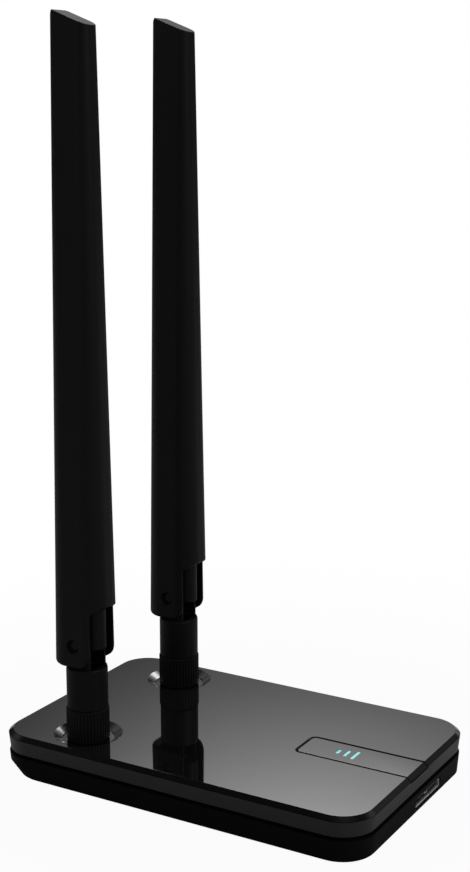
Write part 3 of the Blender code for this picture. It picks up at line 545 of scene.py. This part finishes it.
bottomSize = {
    "low": 0.6, "high": 5.06, "rim": 0.10, "draft": 0.35, "edge": 0.25, "toe": 2.7, "toeHigh": 2.7,
    "lipInset": 1.2, "lipHigh": 7.29, "wallInset": 2.0, "floor": 1.6,
    "bossRadius": 2.95, "bossLow": 1.1, "bossHigh": 3.8, "headBore": 2.05, "headHigh": 2.08,
    "shankBore": 1.15, "shankHigh": 5, "footBore": 4.08, "footHigh": 1.05, "round": 0.12,
}
portWindow = {"x0": 36.9, "x1": 44, "y0": -0.77, "y1": 11.67, "z0": 1.73, "z1": 3.92, "corner": 0.45}


def bottomShell():
    s = bottomSize

    def draftAt(z):
        return s["rim"] + s["draft"] * (s["high"] - z) / (s["high"] - s["low"])

    edgeZ, toeZ = s["low"] + s["edge"], s["low"] + s["toeHigh"]
    shell = ringStack("bottomShell", [
        caseRing(draftAt(edgeZ) + s["edge"], s["low"], s["toe"]),
        caseRing(draftAt(edgeZ), edgeZ, s["toe"] * (1 - s["edge"] / s["toeHigh"])),
        caseRing(draftAt(toeZ), toeZ),
        caseRing(s["rim"], s["high"]),
        caseRing(s["lipInset"], s["high"]),
        caseRing(s["lipInset"], s["lipHigh"]),
        caseRing(s["wallInset"], s["lipHigh"]),
        caseRing(s["wallInset"], toeZ),
        caseRing(s["wallInset"], s["floor"], s["toe"] - (s["floor"] - s["low"])),
    ])
    for place in screwPlaces().values():
        boss = [(s["bossRadius"], s["bossLow"]), (s["bossRadius"], s["bossHigh"])]
        weld(shell, turned("boss", boss, place))
        carve(shell, turned("bore", [
            (s["headBore"], 0), (s["headBore"], s["headHigh"]),
            (s["shankBore"], s["headHigh"]), (s["shankBore"], s["shankHigh"]),
        ], place, 48))
    for sx, sy in corners.values():
        at = (sx * footSpot["x"], sy * footSpot["y"])
        carve(shell, turned("seat", [(s["footBore"], 0), (s["footBore"], s["footHigh"])], at))
    w = portWindow
    window = boxPiece("window", (w["x0"], w["y0"], w["z0"]), (w["x1"], w["y1"], w["z1"]))
    middleX = (w["x0"] + w["x1"]) / 2
    openUp(window)
    pick(window, lambda c, e: abs(c.x - middleX) < 0.1 and c.z > w["z1"] - 0.1, "EDGE")  # upper corners
    bpy.ops.mesh.bevel(offset=w["corner"] * mm, segments=1)
    carve(shell, closeUp(window))
    return dress(soften(shell, s["round"], 2), "base", "satin_black", satin["shellSatin"], "bottom_shell")


upperSize = {
    "low": 5.82, "high": 8.95, "lean": 0.35, "wallInset": 1.05, "deck": 7.45,
    "wellHole": 8.13, "wellLow": 6, "wellHigh": 10, "postRadius": 2.4, "postLow": 4.96, "postHigh": 8.2,
    "pilot": 1.08, "pilotLow": 4, "pilotHigh": 7.24, "openLow": (23.05, -3.5, 6), "openHigh": (36.05, 3.5, 11),
    "round": 0.1,
}
keySize = {
    "x0": 17.0, "x1": 43.0, "half": 4.1, "corner": 1.1, "gap": 0.28, "low": 9.03, "high": 9.85, "chamfer": 1.0,
    "blankEnd": 50, "slotEnd": 52, "pocket": 8.63, "pocketTop": 11,
    "stemX": 33.0, "stemRadius": 1.2, "stemLow": 7.2, "stemHigh": 9.4,
    "edge": [(0, 9.03), (0, 9.62), (0.03, 9.69), (0.17, 9.82), (0.24, 9.85)],  # (inset, height)
}
barSize = {
    "x": (24.9, 26.8, 28.7), "length": (1.9, 2.8, 3.9), "width": 0.65, "gap": 0.08, "corner": 0.16,
    "slotZ": (8, 11), "flangeLow": 8.35, "flangeHigh": 8.95, "flangeCorner": 0.4, "margin": 0.8,
    "stem": (2.0, 3.0), "stemLow": 6.06, "joinZ": 8.6, "round": 0.05,
}


def keyRing(grow, z, end):
    k = keySize
    side = k["half"] + grow
    return (k["x0"] - grow, end, -side, side, k["corner"] + grow, z)


def keySlot(name, stations):
    k = keySize
    return ringStack(name, [keyRing(k["gap"] + flare, z, k["slotEnd"]) for flare, z in stations])


def upperShell():
    s = upperSize
    shell = ringStack("upperShell", [
        caseRing(s["wallInset"], s["deck"]),
        caseRing(s["wallInset"], s["low"]),
        caseRing(s["lean"], s["low"]),
        caseRing(0, s["high"]),
    ])
    for place in screwPlaces().values():
        post = [(s["postRadius"], s["postLow"]), (s["postRadius"], s["postHigh"])]
        weld(shell, turned("post", post, place, 48))
        carve(shell, turned("pilot", [(s["pilot"], s["pilotLow"]), (s["pilot"], s["pilotHigh"])], place, 32))
    for y in antennaY.values():
        hole = [(s["wellHole"], s["wellLow"]), (s["wellHole"], s["wellHigh"])]
        carve(shell, turned("wellHole", hole, (antennaX, y)))
    carve(shell, keySlot("pocket", [(0, keySize["pocket"]), (0, keySize["pocketTop"])]))
    carve(shell, boxPiece("opening", s["openLow"], s["openHigh"]))
    return dress(soften(shell, s["round"], 3), "base", "satin_black", satin["caseSatin"], "upper_shell")


plateSize = {
    "high": 9.85, "wellRadius": 7.35, "wellLow": 7, "wellFloor": 8.67, "wellHigh": 11,
    "cupRadius": 8.05, "cupLow": 7.97, "cupHigh": 9.4, "jackHole": 3.3,
    "flare": 0.2, "past": 0.01, "slotZ": (8, 11),
    "edge": [(0.05, 9.03), (0, 9.07), (0.9586, 9.8161), (1.003, 9.8413), (1.0535, 9.85)],  # (inset, height)
}


def topPlate():
    s = plateSize
    plate = ringStack("topPlate", [caseRing(inset, z) for inset, z in s["edge"]], 24)
    for y in antennaY.values():
        at = (antennaX, y)
        weld(plate, turned("cup", [(s["cupRadius"], s["cupLow"]), (s["cupRadius"], s["cupHigh"])], at, 96))
        carve(plate, turned("well", [
            (s["jackHole"], s["wellLow"]), (s["jackHole"], s["wellFloor"]),
            (s["wellRadius"], s["wellFloor"]), (s["wellRadius"], s["wellHigh"]),
        ], at, 96))
    flare, wide = s["flare"], s["flare"] + s["past"]
    low, high = s["slotZ"]
    carve(plate, keySlot("slot", [
        (0, low), (0, s["high"] - flare), (wide, s["high"] + s["past"]), (wide, high),
    ]))
    return dress(polish(plate), "base", "gloss_black", gloss, "top_plate")


bezelSize = {"outer": 7.27, "inner": 5.57, "low": 8.75, "high": 9.85, "edge": 0.03, "toe": 0.12}


def antennaBezels():
    s = bezelSize
    ring = turned("antennaBezel_front", [
        (s["inner"], s["low"]), (s["outer"], s["low"]), (s["outer"], s["high"]),
        (s["outer"] - s["edge"], s["high"]), (s["inner"], s["low"] + s["toe"]),
    ], (antennaX, antennaY["front"]), 96, loop=True)
    polish(ring)
    twin = copyOf(ring, "antennaBezel_rear", (0, antennaY["rear"] - antennaY["front"], 0))
    for side, piece in (("front", ring), ("rear", twin)):
        dress(piece, "base", "bezel_chrome", chrome, f"antenna_bezel_{side}")


def pairingKey():
    s, b = keySize, barSize
    key = ringStack("pairingKey", [keyRing(-inset, z, s["blankEnd"]) for inset, z in s["edge"]])
    cutOff(key, (s["x1"], 0, s["low"]), (s["high"] - s["low"], 0, s["chamfer"]))
    stem = [(s["stemRadius"], s["stemLow"]), (s["stemRadius"], s["stemHigh"])]
    weld(key, turned("stem", stem, (s["stemX"], 0), 32))
    for x, length in zip(b["x"], b["length"]):
        wide, reach, corner = b["width"] / 2 + b["gap"], length / 2 + b["gap"], b["corner"] + b["gap"]
        rings = [(x - wide, x + wide, -reach, reach, corner, z) for z in b["slotZ"]]
        carve(key, ringStack("barSlot", rings, 4))
    return dress(polish(key), "key", "gloss_black", gloss, "pairing_key")


def lightBars():
    b = barSize
    span = (b["x"][2] - b["x"][0]) / 2 + b["width"] / 2 + b["margin"]
    side = max(b["length"]) / 2 + b["margin"]
    middle = b["x"][1]
    guide = ringStack("lightBars", [
        (middle - span, middle + span, -side, side, b["flangeCorner"], z)
        for z in (b["flangeLow"], b["flangeHigh"])
    ], 4)
    stemX, stemY = b["stem"][0] / 2, b["stem"][1] / 2
    low, high = (middle - stemX, -stemY, b["stemLow"]), (middle + stemX, stemY, b["joinZ"])
    weld(guide, boxPiece("guideStem", low, high))
    for x, length in zip(b["x"], b["length"]):
        half, reach = b["width"] / 2, length / 2
        rings = [(x - half, x + half, -reach, reach, b["corner"], z) for z in (b["joinZ"], keySize["high"])]
        weld(guide, ringStack("bar", rings, 4))
    return dress(soften(guide, b["round"], 2), "key", "light_bar", teal, "light_guide")


bottomShell()
upperShell()
topPlate()
antennaBezels()
pairingKey()
lightBars()
print("case, key and bezels ready")


# cable socket in the end wall

portSize = {
    "x0": 35.95, "x1": 42.55, "y0": -0.65, "y1": 11.55, "z0": 1.85, "z1": 3.80, "wall": 0.25, "bevel": 0.5,
    "sill": 0.2, "lipDeep": 0.7, "lipDrop": 0.4,
    "notchY": 4.55, "notchWidth": 0.7, "notchDeep": 0.45, "notchTop": 5, "round": 0.06,
}
tongueSize = {"root": 1.2, "gap": 0.33, "side": 0.9, "thick": 0.5, "low": 2.45, "tip": 41.35, "round": 0.08}
contactSize = {"x": 37.4, "length": 3.6, "width": 0.28, "thick": 0.06, "sunk": 0.02, "count": 5, "round": 0.03}


def usbSocket():
    s = portSize
    shell = boxPiece("usbShell", (s["x0"], s["y0"], s["z0"]), (s["x1"], s["y1"], s["z1"]))
    openUp(shell)
    middleY, side = (s["y0"] + s["y1"]) / 2, (s["y1"] - s["y0"]) / 2 - 0.1
    pick(shell, lambda c, e: c.z > s["z1"] - 0.1 and abs(c.y - middleY) > side, "EDGE")  # upper corners
    bpy.ops.mesh.bevel(offset=s["bevel"] * mm, segments=1)
    closeUp(shell)
    half, notchZ = s["notchWidth"] / 2, s["z1"] - s["notchDeep"]
    low, high = (s["x0"] - 1, s["notchY"] - half, notchZ), (s["x1"] + 1, s["notchY"] + half, s["notchTop"])
    carve(shell, boxPiece("notch", low, high))
    openUp(shell)
    pick(shell, lambda c, f: f.normal.x > 0.9)
    bpy.ops.mesh.inset(thickness=s["wall"] * mm, depth=0)
    sillZ = s["z0"] + s["wall"] + s["sill"]
    for reach in (s["lipDeep"], s["x1"] - s["x0"] - s["wall"] - s["lipDeep"]):
        bpy.ops.mesh.extrude_region_move(TRANSFORM_OT_translate={"value": (-reach * mm, 0, 0)})
    pick(shell, lambda c, v: abs(c.z - s["z0"] - s["wall"]) < 0.02, "VERT")
    bpy.ops.transform.translate(value=(0, 0, s["sill"] * mm))
    pick(shell, lambda c, v: abs(c.z - sillZ) < 0.02 and c.x > s["x1"] - 0.02, "VERT")
    bpy.ops.transform.translate(value=(0, 0, -s["lipDrop"] * mm))  # lead-in slope of the lower lip
    closeUp(shell)
    dress(soften(shell, s["round"], 2), "base", "plated_steel", steel, "usb_shell")


def usbTongue():
    s, t, p = portSize, tongueSize, contactSize
    x0, y0, y1 = s["x0"] + t["gap"], s["y0"] + t["gap"], s["y1"] - t["gap"]
    z0, z1 = s["z0"] + t["gap"], s["z1"] - s["notchDeep"] - t["gap"]
    top = t["low"] + t["thick"]
    tongue = boxPiece("usbTongue", (x0, y0, z0), (x0 + t["root"], y1, z1))
    bays = ((y0 + t["side"], s["notchY"] - t["side"]), (s["notchY"] + t["side"], y1 - t["side"]))
    for near, far in bays:
        weld(tongue, boxPiece("bay", (x0 + t["root"] / 2, near, t["low"]), (t["tip"], far, top)))
    dress(soften(mend(tongue), t["round"], 2), "base", "moulded_black", satin["tongueBlack"], "usb_tongue")
    half = p["width"] / 2
    first, firstY = None, None
    for bay, (near, far) in enumerate(bays):
        pitch = (far - near) / p["count"]
        for i in range(p["count"]):
            name = f"usbContact_{bay}_{i}"
            y = near + pitch * (i + 0.5)
            if first is None:
                firstY = y
                low = (p["x"], y - half, top - p["sunk"])
                high = (p["x"] + p["length"], y + half, top + p["thick"])
                first = boxPiece(name, low, high)
                contact = soften(first, p["round"], 2)
            else:
                contact = copyOf(first, name, (0, y - firstY, 0))
            dress(contact, "base", "gold_plated_brass", gold)


usbSocket()
usbTongue()
print("cable socket ready")


# screws and feet under the case

screwSize = {
    "head": 1.9, "headInset": 0.2, "headEdge": 0.25, "low": 1.0, "high": 2.0, "shank": 1.0,
    "tip": 7.16, "tipLength": 0.5, "tipRadius": 0.35, "slot": 0.5, "slotReach": 0.6, "deep": 0.5, "round": 0.06,
}
footSize = {
    "radius": 4.0, "edge": 0.25, "high": 0.97,
    "groove": (2.7, 3.1), "grooveDeep": 0.15, "grooveSlope": 0.08, "round": 0.08,
}


def screws():
    s = screwSize
    first, at = None, None
    for name, place in screwPlaces().items():
        if first is None:
            at = place
            first = turned(f"caseScrew_{name}", [
                (s["head"] - s["headInset"], s["low"]), (s["head"], s["low"] + s["headEdge"]),
                (s["head"], s["high"]), (s["shank"], s["high"]),
                (s["shank"], s["tip"] - s["tipLength"]), (s["tipRadius"], s["tip"]),
            ], at, 48)
            narrow, reach, top = s["slot"] / 2, s["head"] * s["slotReach"], s["low"] + s["deep"]
            for wide, long in ((narrow, reach), (reach, narrow)):  # cross slot
                low, high = (at[0] - wide, at[1] - long, 0), (at[0] + wide, at[1] + long, top)
                carve(first, boxPiece("drive", low, high))
            piece = soften(first, s["round"], 2)
        else:
            piece = copyOf(first, f"caseScrew_{name}", (place[0] - at[0], place[1] - at[1], 0))
        dress(piece, "base", "plated_steel", steel, f"screw_{name}")


def feet():
    s = footSize
    first, at = None, None
    for name, (sx, sy) in corners.items():
        place = (sx * footSpot["x"], sy * footSpot["y"])
        if first is None:
            at = place
            (inner, outer), slope = s["groove"], s["grooveSlope"]
            first = turned(f"rubberFoot_{name}", [
                (inner, 0), (inner + slope, s["grooveDeep"]), (outer - slope, s["grooveDeep"]), (outer, 0),
                (s["radius"] - s["edge"], 0), (s["radius"], s["edge"]), (s["radius"], s["high"]),
            ], at)
            piece = soften(first, s["round"], 3)
        else:
            piece = copyOf(first, f"rubberFoot_{name}", (place[0] - at[0], place[1] - at[1], 0))
        dress(piece, "base", "foot_rubber", rubber, f"foot_{name}")


screws()
feet()
print("screws and feet ready")


# antennas: threaded jack, nut, swivel base, blade and hinge pin

jackSize = {
    "bore": 2.3, "flange": 4.2, "flangeLow": 4.96, "flangeHigh": 6.06, "barrel": 3.15, "root": 2.86,
    "threadLow": 9.0, "threadHigh": 13.2, "top": 13.45, "pitch": 0.7056, "crest": 0.12, "valley": 0.1,
    "chamfer": 0.25, "round": 0.02,
}
nutSize = {
    "radius": 4.55, "low": 8.90, "high": 16.05, "chamfer": 0.3, "bore": 3.30, "neck": 2.75, "lip": 14.85,
    "flutes": 40, "perFlute": 6, "sunk": (4, 5), "deep": 0.2, "skin": 0.05, "round": 0.04,
}
swivelSize = {
    "mouth": 2.75, "pocket": 3.25, "pocketLow": 19.90, "pocketHigh": 21.80, "low": 16.20, "radius": 4.37,
    "shoulder": 24.5, "neck": 4.22, "high": 25.05,
    "earIn": 2.38, "earOut": 2.98, "earHalf": 2.8, "earRoot": 23.3, "hole": 1.21, "holeHalf": 5,
    "saddle": (-2.75, -1.5), "saddleLow": 23.6, "saddleHigh": 26.6, "saddleInto": 0.4, "round": 0.12,
}
bladeSize = {
    "pinZ": 30.52, "low": 25.79, "high": 156.57, "levels": (60, 92, 124, 159),
    "root": (6.29, 5.14, 4.26), "tip": (4.5, 2.7, 2.25),  # half width, half depth and corner
    "heel": [(0, 0.8), (0.12, 0.45), (0.4, 0.14), (0.8, 0)],  # (rise, inset)
    "slope": 0.383, "tipCut": 1.1, "cheekCut": 3.9, "cheekRound": 3.3, "notch": 37.45, "notchRise": 0.7,
    "slotBack": 2.95, "slotHalf": 4.05, "slotOver": 0.6, "hole": 1.21, "recess": 1.45, "recessFrom": 4.22,
    "under": 20, "aside": 8, "past": 9, "above": 5,  # how far the cutters reach
    "round": 0.2,
}
webSize = {
    "half": 2.28, "corner": 2.26, "back": 5.5, "reach": 4.6, "low": 6, "over": 1.5,
    "eye": 2.3, "foot": -1.2, "rise": 0.05,
    "headHalf": 2.78, "headBack": 5.2, "headReach": 2.4, "headLow": 3.1, "headOver": 1.2, "headCorner": 0.5,
}
pinBar = {"radius": 1.15, "half": 4.28, "dome": 0.16, "domeInset": 0.3, "round": 0.06}


def jackBarrel(side):
    s = jackSize
    profile = [
        (s["bore"], s["flangeLow"]), (s["flange"], s["flangeLow"]),
        (s["flange"], s["flangeHigh"]), (s["barrel"], s["flangeHigh"]),
    ]
    z = s["threadLow"]
    while z + s["pitch"] < s["threadHigh"]:
        rootZ = z + s["pitch"] / 2
        profile += [
            (s["barrel"], z), (s["barrel"], z + s["crest"]),
            (s["root"], rootZ), (s["root"], rootZ + s["valley"]),
        ]
        z += s["pitch"]
    profile += [
        (s["barrel"], z), (s["barrel"], s["threadHigh"]),
        (s["barrel"] - s["chamfer"], s["top"]), (s["bore"], s["top"]),
    ]
    barrel = turned(f"jackBarrel_{side}", profile, (antennaX, antennaY[side]), 64, loop=True)
    return soften(barrel, s["round"], 1)


def couplingNut(side):
    s = nutSize
    steps = s["flutes"] * s["perFlute"]
    at = (antennaX, antennaY[side])
    slim = s["radius"] - s["chamfer"]
    nut = turned(f"couplingNut_{side}", [
        (slim, s["low"]), (s["radius"], s["low"] + s["chamfer"]),
        (s["radius"], s["high"] - s["chamfer"]), (slim, s["high"]),
        (s["neck"], s["high"]), (s["neck"], s["lip"]), (s["bore"], s["lip"]), (s["bore"], s["low"]),
    ], at, steps, loop=True)
    openUp(nut)

    def inFlute(spot, vertex):
        dx, dy = spot.x - at[0], spot.y - at[1]
        turn = math.atan2(dy, dx) / (2 * math.pi) * steps
        return math.hypot(dx, dy) > s["radius"] - s["skin"] and round(turn) % s["perFlute"] in s["sunk"]

    pick(nut, inFlute, "VERT")
    share = (s["radius"] - s["deep"]) / s["radius"]
    bpy.ops.transform.resize(value=(share, share, 1), center_override=(at[0] * mm, at[1] * mm, 0))
    closeUp(nut)
    return soften(nut, s["round"], 1, 50, 35)


def swivelBase(side):
    s, b = swivelSize, bladeSize
    at = (antennaX, antennaY[side])
    base = turned(f"swivelBase_{side}", [
        (s["pocket"], s["pocketHigh"]), (s["pocket"], s["pocketLow"]),
        (s["mouth"], s["pocketLow"]), (s["mouth"], s["low"]),
        (s["radius"], s["low"]), (s["radius"], s["shoulder"]), (s["neck"], s["high"]),
    ], at, 96)
    for sign in (-1, 1):
        y0, y1 = sorted((at[1] + sign * s["earIn"], at[1] + sign * s["earOut"]))
        ear = crossBar("ear", s["earHalf"], y0, y1, (at[0], b["pinZ"]), 64)
        cutOff(ear, (at[0], at[1], b["pinZ"]), (0, 0, -1))
        openUp(ear)
        pick(ear, lambda c, f: f.normal.z < -0.9)
        drop = (s["earRoot"] - b["pinZ"]) * mm
        bpy.ops.mesh.extrude_region_move(TRANSFORM_OT_translate={"value": (0, 0, drop)})
        weld(base, closeUp(ear))
    back, front = s["saddle"]  # joins the ears behind the hinge eye, clear of the folding web
    wide = s["earIn"] + s["saddleInto"]
    low, high = (at[0] + back, at[1] - wide, s["saddleLow"]), (at[0] + front, at[1] + wide, s["saddleHigh"])
    weld(base, boxPiece("saddle", low, high))
    near, far = at[1] - s["holeHalf"], at[1] + s["holeHalf"]
    carve(base, crossBar("earHole", s["hole"], near, far, (at[0], b["pinZ"])))
    return soften(mend(base), s["round"], 3, clamp=False)


def bladeRing(at, z, inset=0.0):
    b = bladeSize
    share = (z - b["low"]) / (b["high"] - b["low"])
    x, y, radius = (root + (tip - root) * share for root, tip in zip(b["root"], b["tip"]))
    x, y = x - inset, y - inset
    return (at[0] - x, at[0] + x, at[1] - y, at[1] + y, radius - inset, z)


def bladeWeb(x, y, z):  # half-round web with a squarer head above and an eye for the pin
    w, notch = webSize, bladeSize["notch"]
    half, wide = w["half"], w["headHalf"]
    web = ringStack("web", [
        (x - w["back"], x + w["reach"], y - half, y + half, w["corner"], level)
        for level in (z - w["low"], notch + w["over"])
    ], 12)
    startX = math.sqrt(w["eye"] ** 2 - w["foot"] ** 2)
    cutOff(web, (x + startX, y, z + w["foot"]), (w["rise"], 0, -1))
    weld(web, ringStack("head", [
        (x - w["headBack"], x + w["headReach"], y - wide, y + wide, w["headCorner"], level)
        for level in (z + w["headLow"], notch + w["headOver"])
    ], 4))
    return weld(web, crossBar("eye", w["eye"], y - half, y + half, (x, z), 64))


def antennaBlade(side):
    b = bladeSize
    at = (antennaX, antennaY[side])
    x, y, z = at[0], at[1], b["pinZ"]
    under, aside, past = b["under"], b["aside"], b["past"]
    blade = ringStack(f"antennaBlade_{side}", [
        *(bladeRing(at, b["low"] + rise, inset) for rise, inset in b["heel"]),
        *(bladeRing(at, level) for level in b["levels"]),
    ], 12)
    cutOff(blade, (x, y, b["high"]), (b["slope"], 0, 1))
    peak = b["tip"][0] - b["tipCut"]
    cutOff(blade, (x - peak, y, b["high"] + b["slope"] * peak), (-1, 0, 1))
    cheekX = x + b["cheekCut"]
    notch = boxPiece("notch", (cheekX, y - aside, under), (x + past, y + aside, b["notch"] + b["above"]))
    carve(blade, cutOff(notch, (cheekX, y, b["notch"]), (-b["notchRise"], 0, 1)))
    footX, footZ = cheekX - b["cheekRound"], b["low"] + b["cheekRound"]
    foot = boxPiece("foot", (footX, y - aside, under), (x + past, y + aside, footZ))
    carve(blade, carve(foot, crossBar("round", b["cheekRound"], y - past, y + past, (footX, footZ), 96)))
    half, slotTop = b["slotHalf"], b["notch"] + b["slotOver"]
    carve(blade, boxPiece("slot", (x - b["slotBack"], y - half, under), (x + past, y + half, slotTop)))
    weld(blade, bladeWeb(x, y, z))
    carve(blade, crossBar("hole", b["hole"], y - past, y + past, (x, z)))
    for low, high in ((y - past, y - b["recessFrom"]), (y + b["recessFrom"], y + past)):
        carve(blade, crossBar("recess", b["recess"], low, high, (x, z)))
    return soften(mend(blade), b["round"], 3, 40, 40, False)


def hingePin(side):
    p = pinBar
    low, high = antennaY[side] - p["half"] + p["dome"], antennaY[side] + p["half"] - p["dome"]
    pin = crossBar(f"hingePin_{side}", p["radius"], low, high, (antennaX, bladeSize["pinZ"]))
    openUp(pin)
    for sign in (-1, 1):
        pick(pin, lambda c, f: f.normal.y * sign > 0.9)
        bpy.ops.mesh.inset(thickness=p["domeInset"] * mm, depth=p["dome"] * mm)
    closeUp(pin)
    return soften(pin, p["round"], 2)


for side in antennaY:
    dress(jackBarrel(side), "base", "gold_plated_brass", gold, f"jack_barrel_{side}")
    dress(couplingNut(side), f"nut_{side}", "moulded_black", satin["nutSatin"], f"coupling_nut_{side}")
    # the swivel takes the darker satin copy, which is painted shade
    dress(swivelBase(side), f"swivel_{side}", "satin_black", satin["swivelShadedSatin"], f"swivel_base_{side}")
    dress(antennaBlade(side), f"antenna_{side}", "satin_black", satin["antennaSatin"], f"blade_{side}")
    dress(hingePin(side), f"antenna_{side}", "plated_steel", pinSteel, f"hinge_pin_{side}")
    print("antenna ready:", side)


# the parts inside keep their solids and get a finish

insideFinish = {
    "circuit_board": board, "switch_body": steel, "status_led": teal, "wifi_chip": chip, "shield_can": steel,
    "crystal": steel, "power_inductor": chip, "switch_plunger": satin["tongueBlack"],
}
for side in antennaY:
    insideFinish.update({
        f"front_end_chip_{side}": chip, f"jack_insulator_{side}": insulator, f"jack_pin_{side}": gold,
        f"plug_core_{side}": gold, f"plug_insulator_{side}": insulator, f"plug_contact_{side}": gold,
        f"radiator_{side}": gold,
    })
for node, finish in insideFinish.items():
    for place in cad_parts[node].material_slots:
        place.link = "OBJECT"
        place.material = finish
print("inside parts finished")


# floor, light and world

floorLook = {
    "half": 2.5, "tone": (0.52, 0.52, 0.52), "paler": 1.03, "mottle": 40, "rough": 0.9,
    "white": 0.955, "near": 0.05, "far": 0.17,
}
softboxes = [  # azimuth left of +Y, height and spread in degrees, then strength
    {"azimuth": 27.0, "height": 37.0, "spread": 9.2, "strength": 5.5},
    {"azimuth": -4.0, "height": 37.0, "spread": 8.5, "strength": 1.7},
    {"azimuth": -2.0, "height": 14.0, "spread": 9.0, "strength": 0.45},
    {"azimuth": -45.0, "height": 28.0, "spread": 13.0, "strength": 0.7},
    {"azimuth": -85.0, "height": 28.0, "spread": 15.0, "strength": 0.8},
    {"azimuth": -120.0, "height": 28.0, "spread": 15.0, "strength": 0.6},
    {"azimuth": 205.0, "height": 30.0, "spread": 14.0, "strength": 0.8},
    {"azimuth": 150.0, "height": 30.0, "spread": 14.0, "strength": 0.6},
    {"azimuth": 105.0, "height": 26.0, "spread": 13.0, "strength": 0.7},
    {"azimuth": 66.0, "height": 32.0, "spread": 12.0, "strength": 0.08},
    {"azimuth": 51.0, "height": 15.0, "spread": 7.5, "strength": 0.1},
    {"azimuth": 0.0, "height": 82.0, "spread": 13.0, "strength": 0.6},
]
worldLook = {"dim": 0.012}
lampAim = Vector((0, 0, 0.05))
lamps = {
    "frontLamp": {"place": (-0.25, -0.75, 0.35), "size": 0.5, "power": 0.5, "mirrored": True},
    "sideLamp": {"place": (0.75, 0.0, 0.55), "size": 0.4, "power": 2.3, "mirrored": True},
    "leftLamp": {"place": (-0.8, 0.0, 0.4), "size": 0.5, "power": 2.5, "mirrored": False},
    "backLamp": {"place": (0.1, 0.8, 0.45), "size": 0.5, "power": 2.5, "mirrored": False},
}


def layFloor():
    freshStart()
    bpy.ops.mesh.primitive_plane_add(size=2 * floorLook["half"])
    floor = settle("paleFloor")
    bpy.ops.mesh.subdivide(number_cuts=3)
    closeUp(floor)
    material, sheet, shader = startMaterial("paleFloor")
    place = sheet.make("ShaderNodeTexCoord", out="Object")
    mottle = noise(sheet, place, floorLook["mottle"], 3)
    tone = floorLook["tone"]
    feed(sheet, shader, {
        "Base Color": blend(sheet, mottle, tone, tuple(c * floorLook["paler"] for c in tone)),
        "Roughness": floorLook["rough"],
        "Specular IOR Level": 0.0,
    })
    away = sheet.make("ShaderNodeVectorMath", {"operation": "LENGTH"}, {0: place}, out="Value")
    paleness = sheet.make("ShaderNodeMapRange", values={  # white far off, some shadow near the object
        "Value": away, "From Min": floorLook["near"], "From Max": floorLook["far"],
        "To Min": floorLook["white"], "To Max": 1.0,
    })
    seen = sheet.make("ShaderNodeLightPath", out="Is Camera Ray") * paleness
    white = sheet.make("ShaderNodeEmission", values={"Color": (1, 1, 1, 1), "Strength": 1.0})
    body = Wire(material.node_tree, shader.outputs[0])
    mixed = sheet.make("ShaderNodeMixShader", values={0: seen, 1: body, 2: white})
    output = material.node_tree.nodes["Material Output"]
    material.node_tree.links.new(mixed.socket, output.inputs["Surface"])
    floor.data.materials.append(material)


def paintWorld():  # white to the camera, dim with soft bright boxes to everything else
    world = bpy.data.worlds.new("studio")
    bpy.context.scene.world = world
    world.use_nodes = True
    tree = world.node_tree
    tree.nodes.clear()
    sheet = Wire(tree)
    way = sheet.make("ShaderNodeTexCoord", out="Generated")
    glow = None
    for box in softboxes:
        turn, lift = math.radians(box["azimuth"]), math.radians(box["height"])
        centre = (-math.sin(turn) * math.cos(lift), math.cos(turn) * math.cos(lift), math.sin(lift))
        near = sheet.make("ShaderNodeVectorMath", {"operation": "DOT_PRODUCT"}, {0: way, 1: centre}, "Value")
        away = (1 - near) * (2 / math.radians(box["spread"]) ** 2)  # soft round edge
        lit = sheet.math("EXPONENT", 0 - away, 0.0) * box["strength"]
        glow = lit if glow is None else glow + lit
    level = glow + worldLook["dim"]
    studio = sheet.make("ShaderNodeBackground", values={"Color": (1, 1, 1, 1), "Strength": level})
    white = sheet.make("ShaderNodeBackground", values={"Color": (1, 1, 1, 1), "Strength": 1.0})
    seen = sheet.make("ShaderNodeLightPath", out="Is Camera Ray")
    mixed = sheet.make("ShaderNodeMixShader", values={0: seen, 1: studio, 2: white})
    sheet.make("ShaderNodeOutputWorld", values={"Surface": mixed}, out=None)


def hangLamps():
    for name, lamp in lamps.items():
        freshStart()
        bpy.ops.object.light_add(type="AREA", location=lamp["place"])
        light = bpy.context.object
        light.name = light.data.name = name
        light.data.size = lamp["size"]
        light.data.energy = lamp["power"]
        light.visible_glossy = lamp["mirrored"]  # the gloss shows the soft boxes, not this lamp's outline
        light.rotation_euler = (lampAim - Vector(lamp["place"])).to_track_quat("-Z", "Y").to_euler()


layFloor()
paintWorld()
hangLamps()
bpy.context.scene.view_settings.view_transform = "Standard"
print("floor, world and lamps ready")

freshStart()
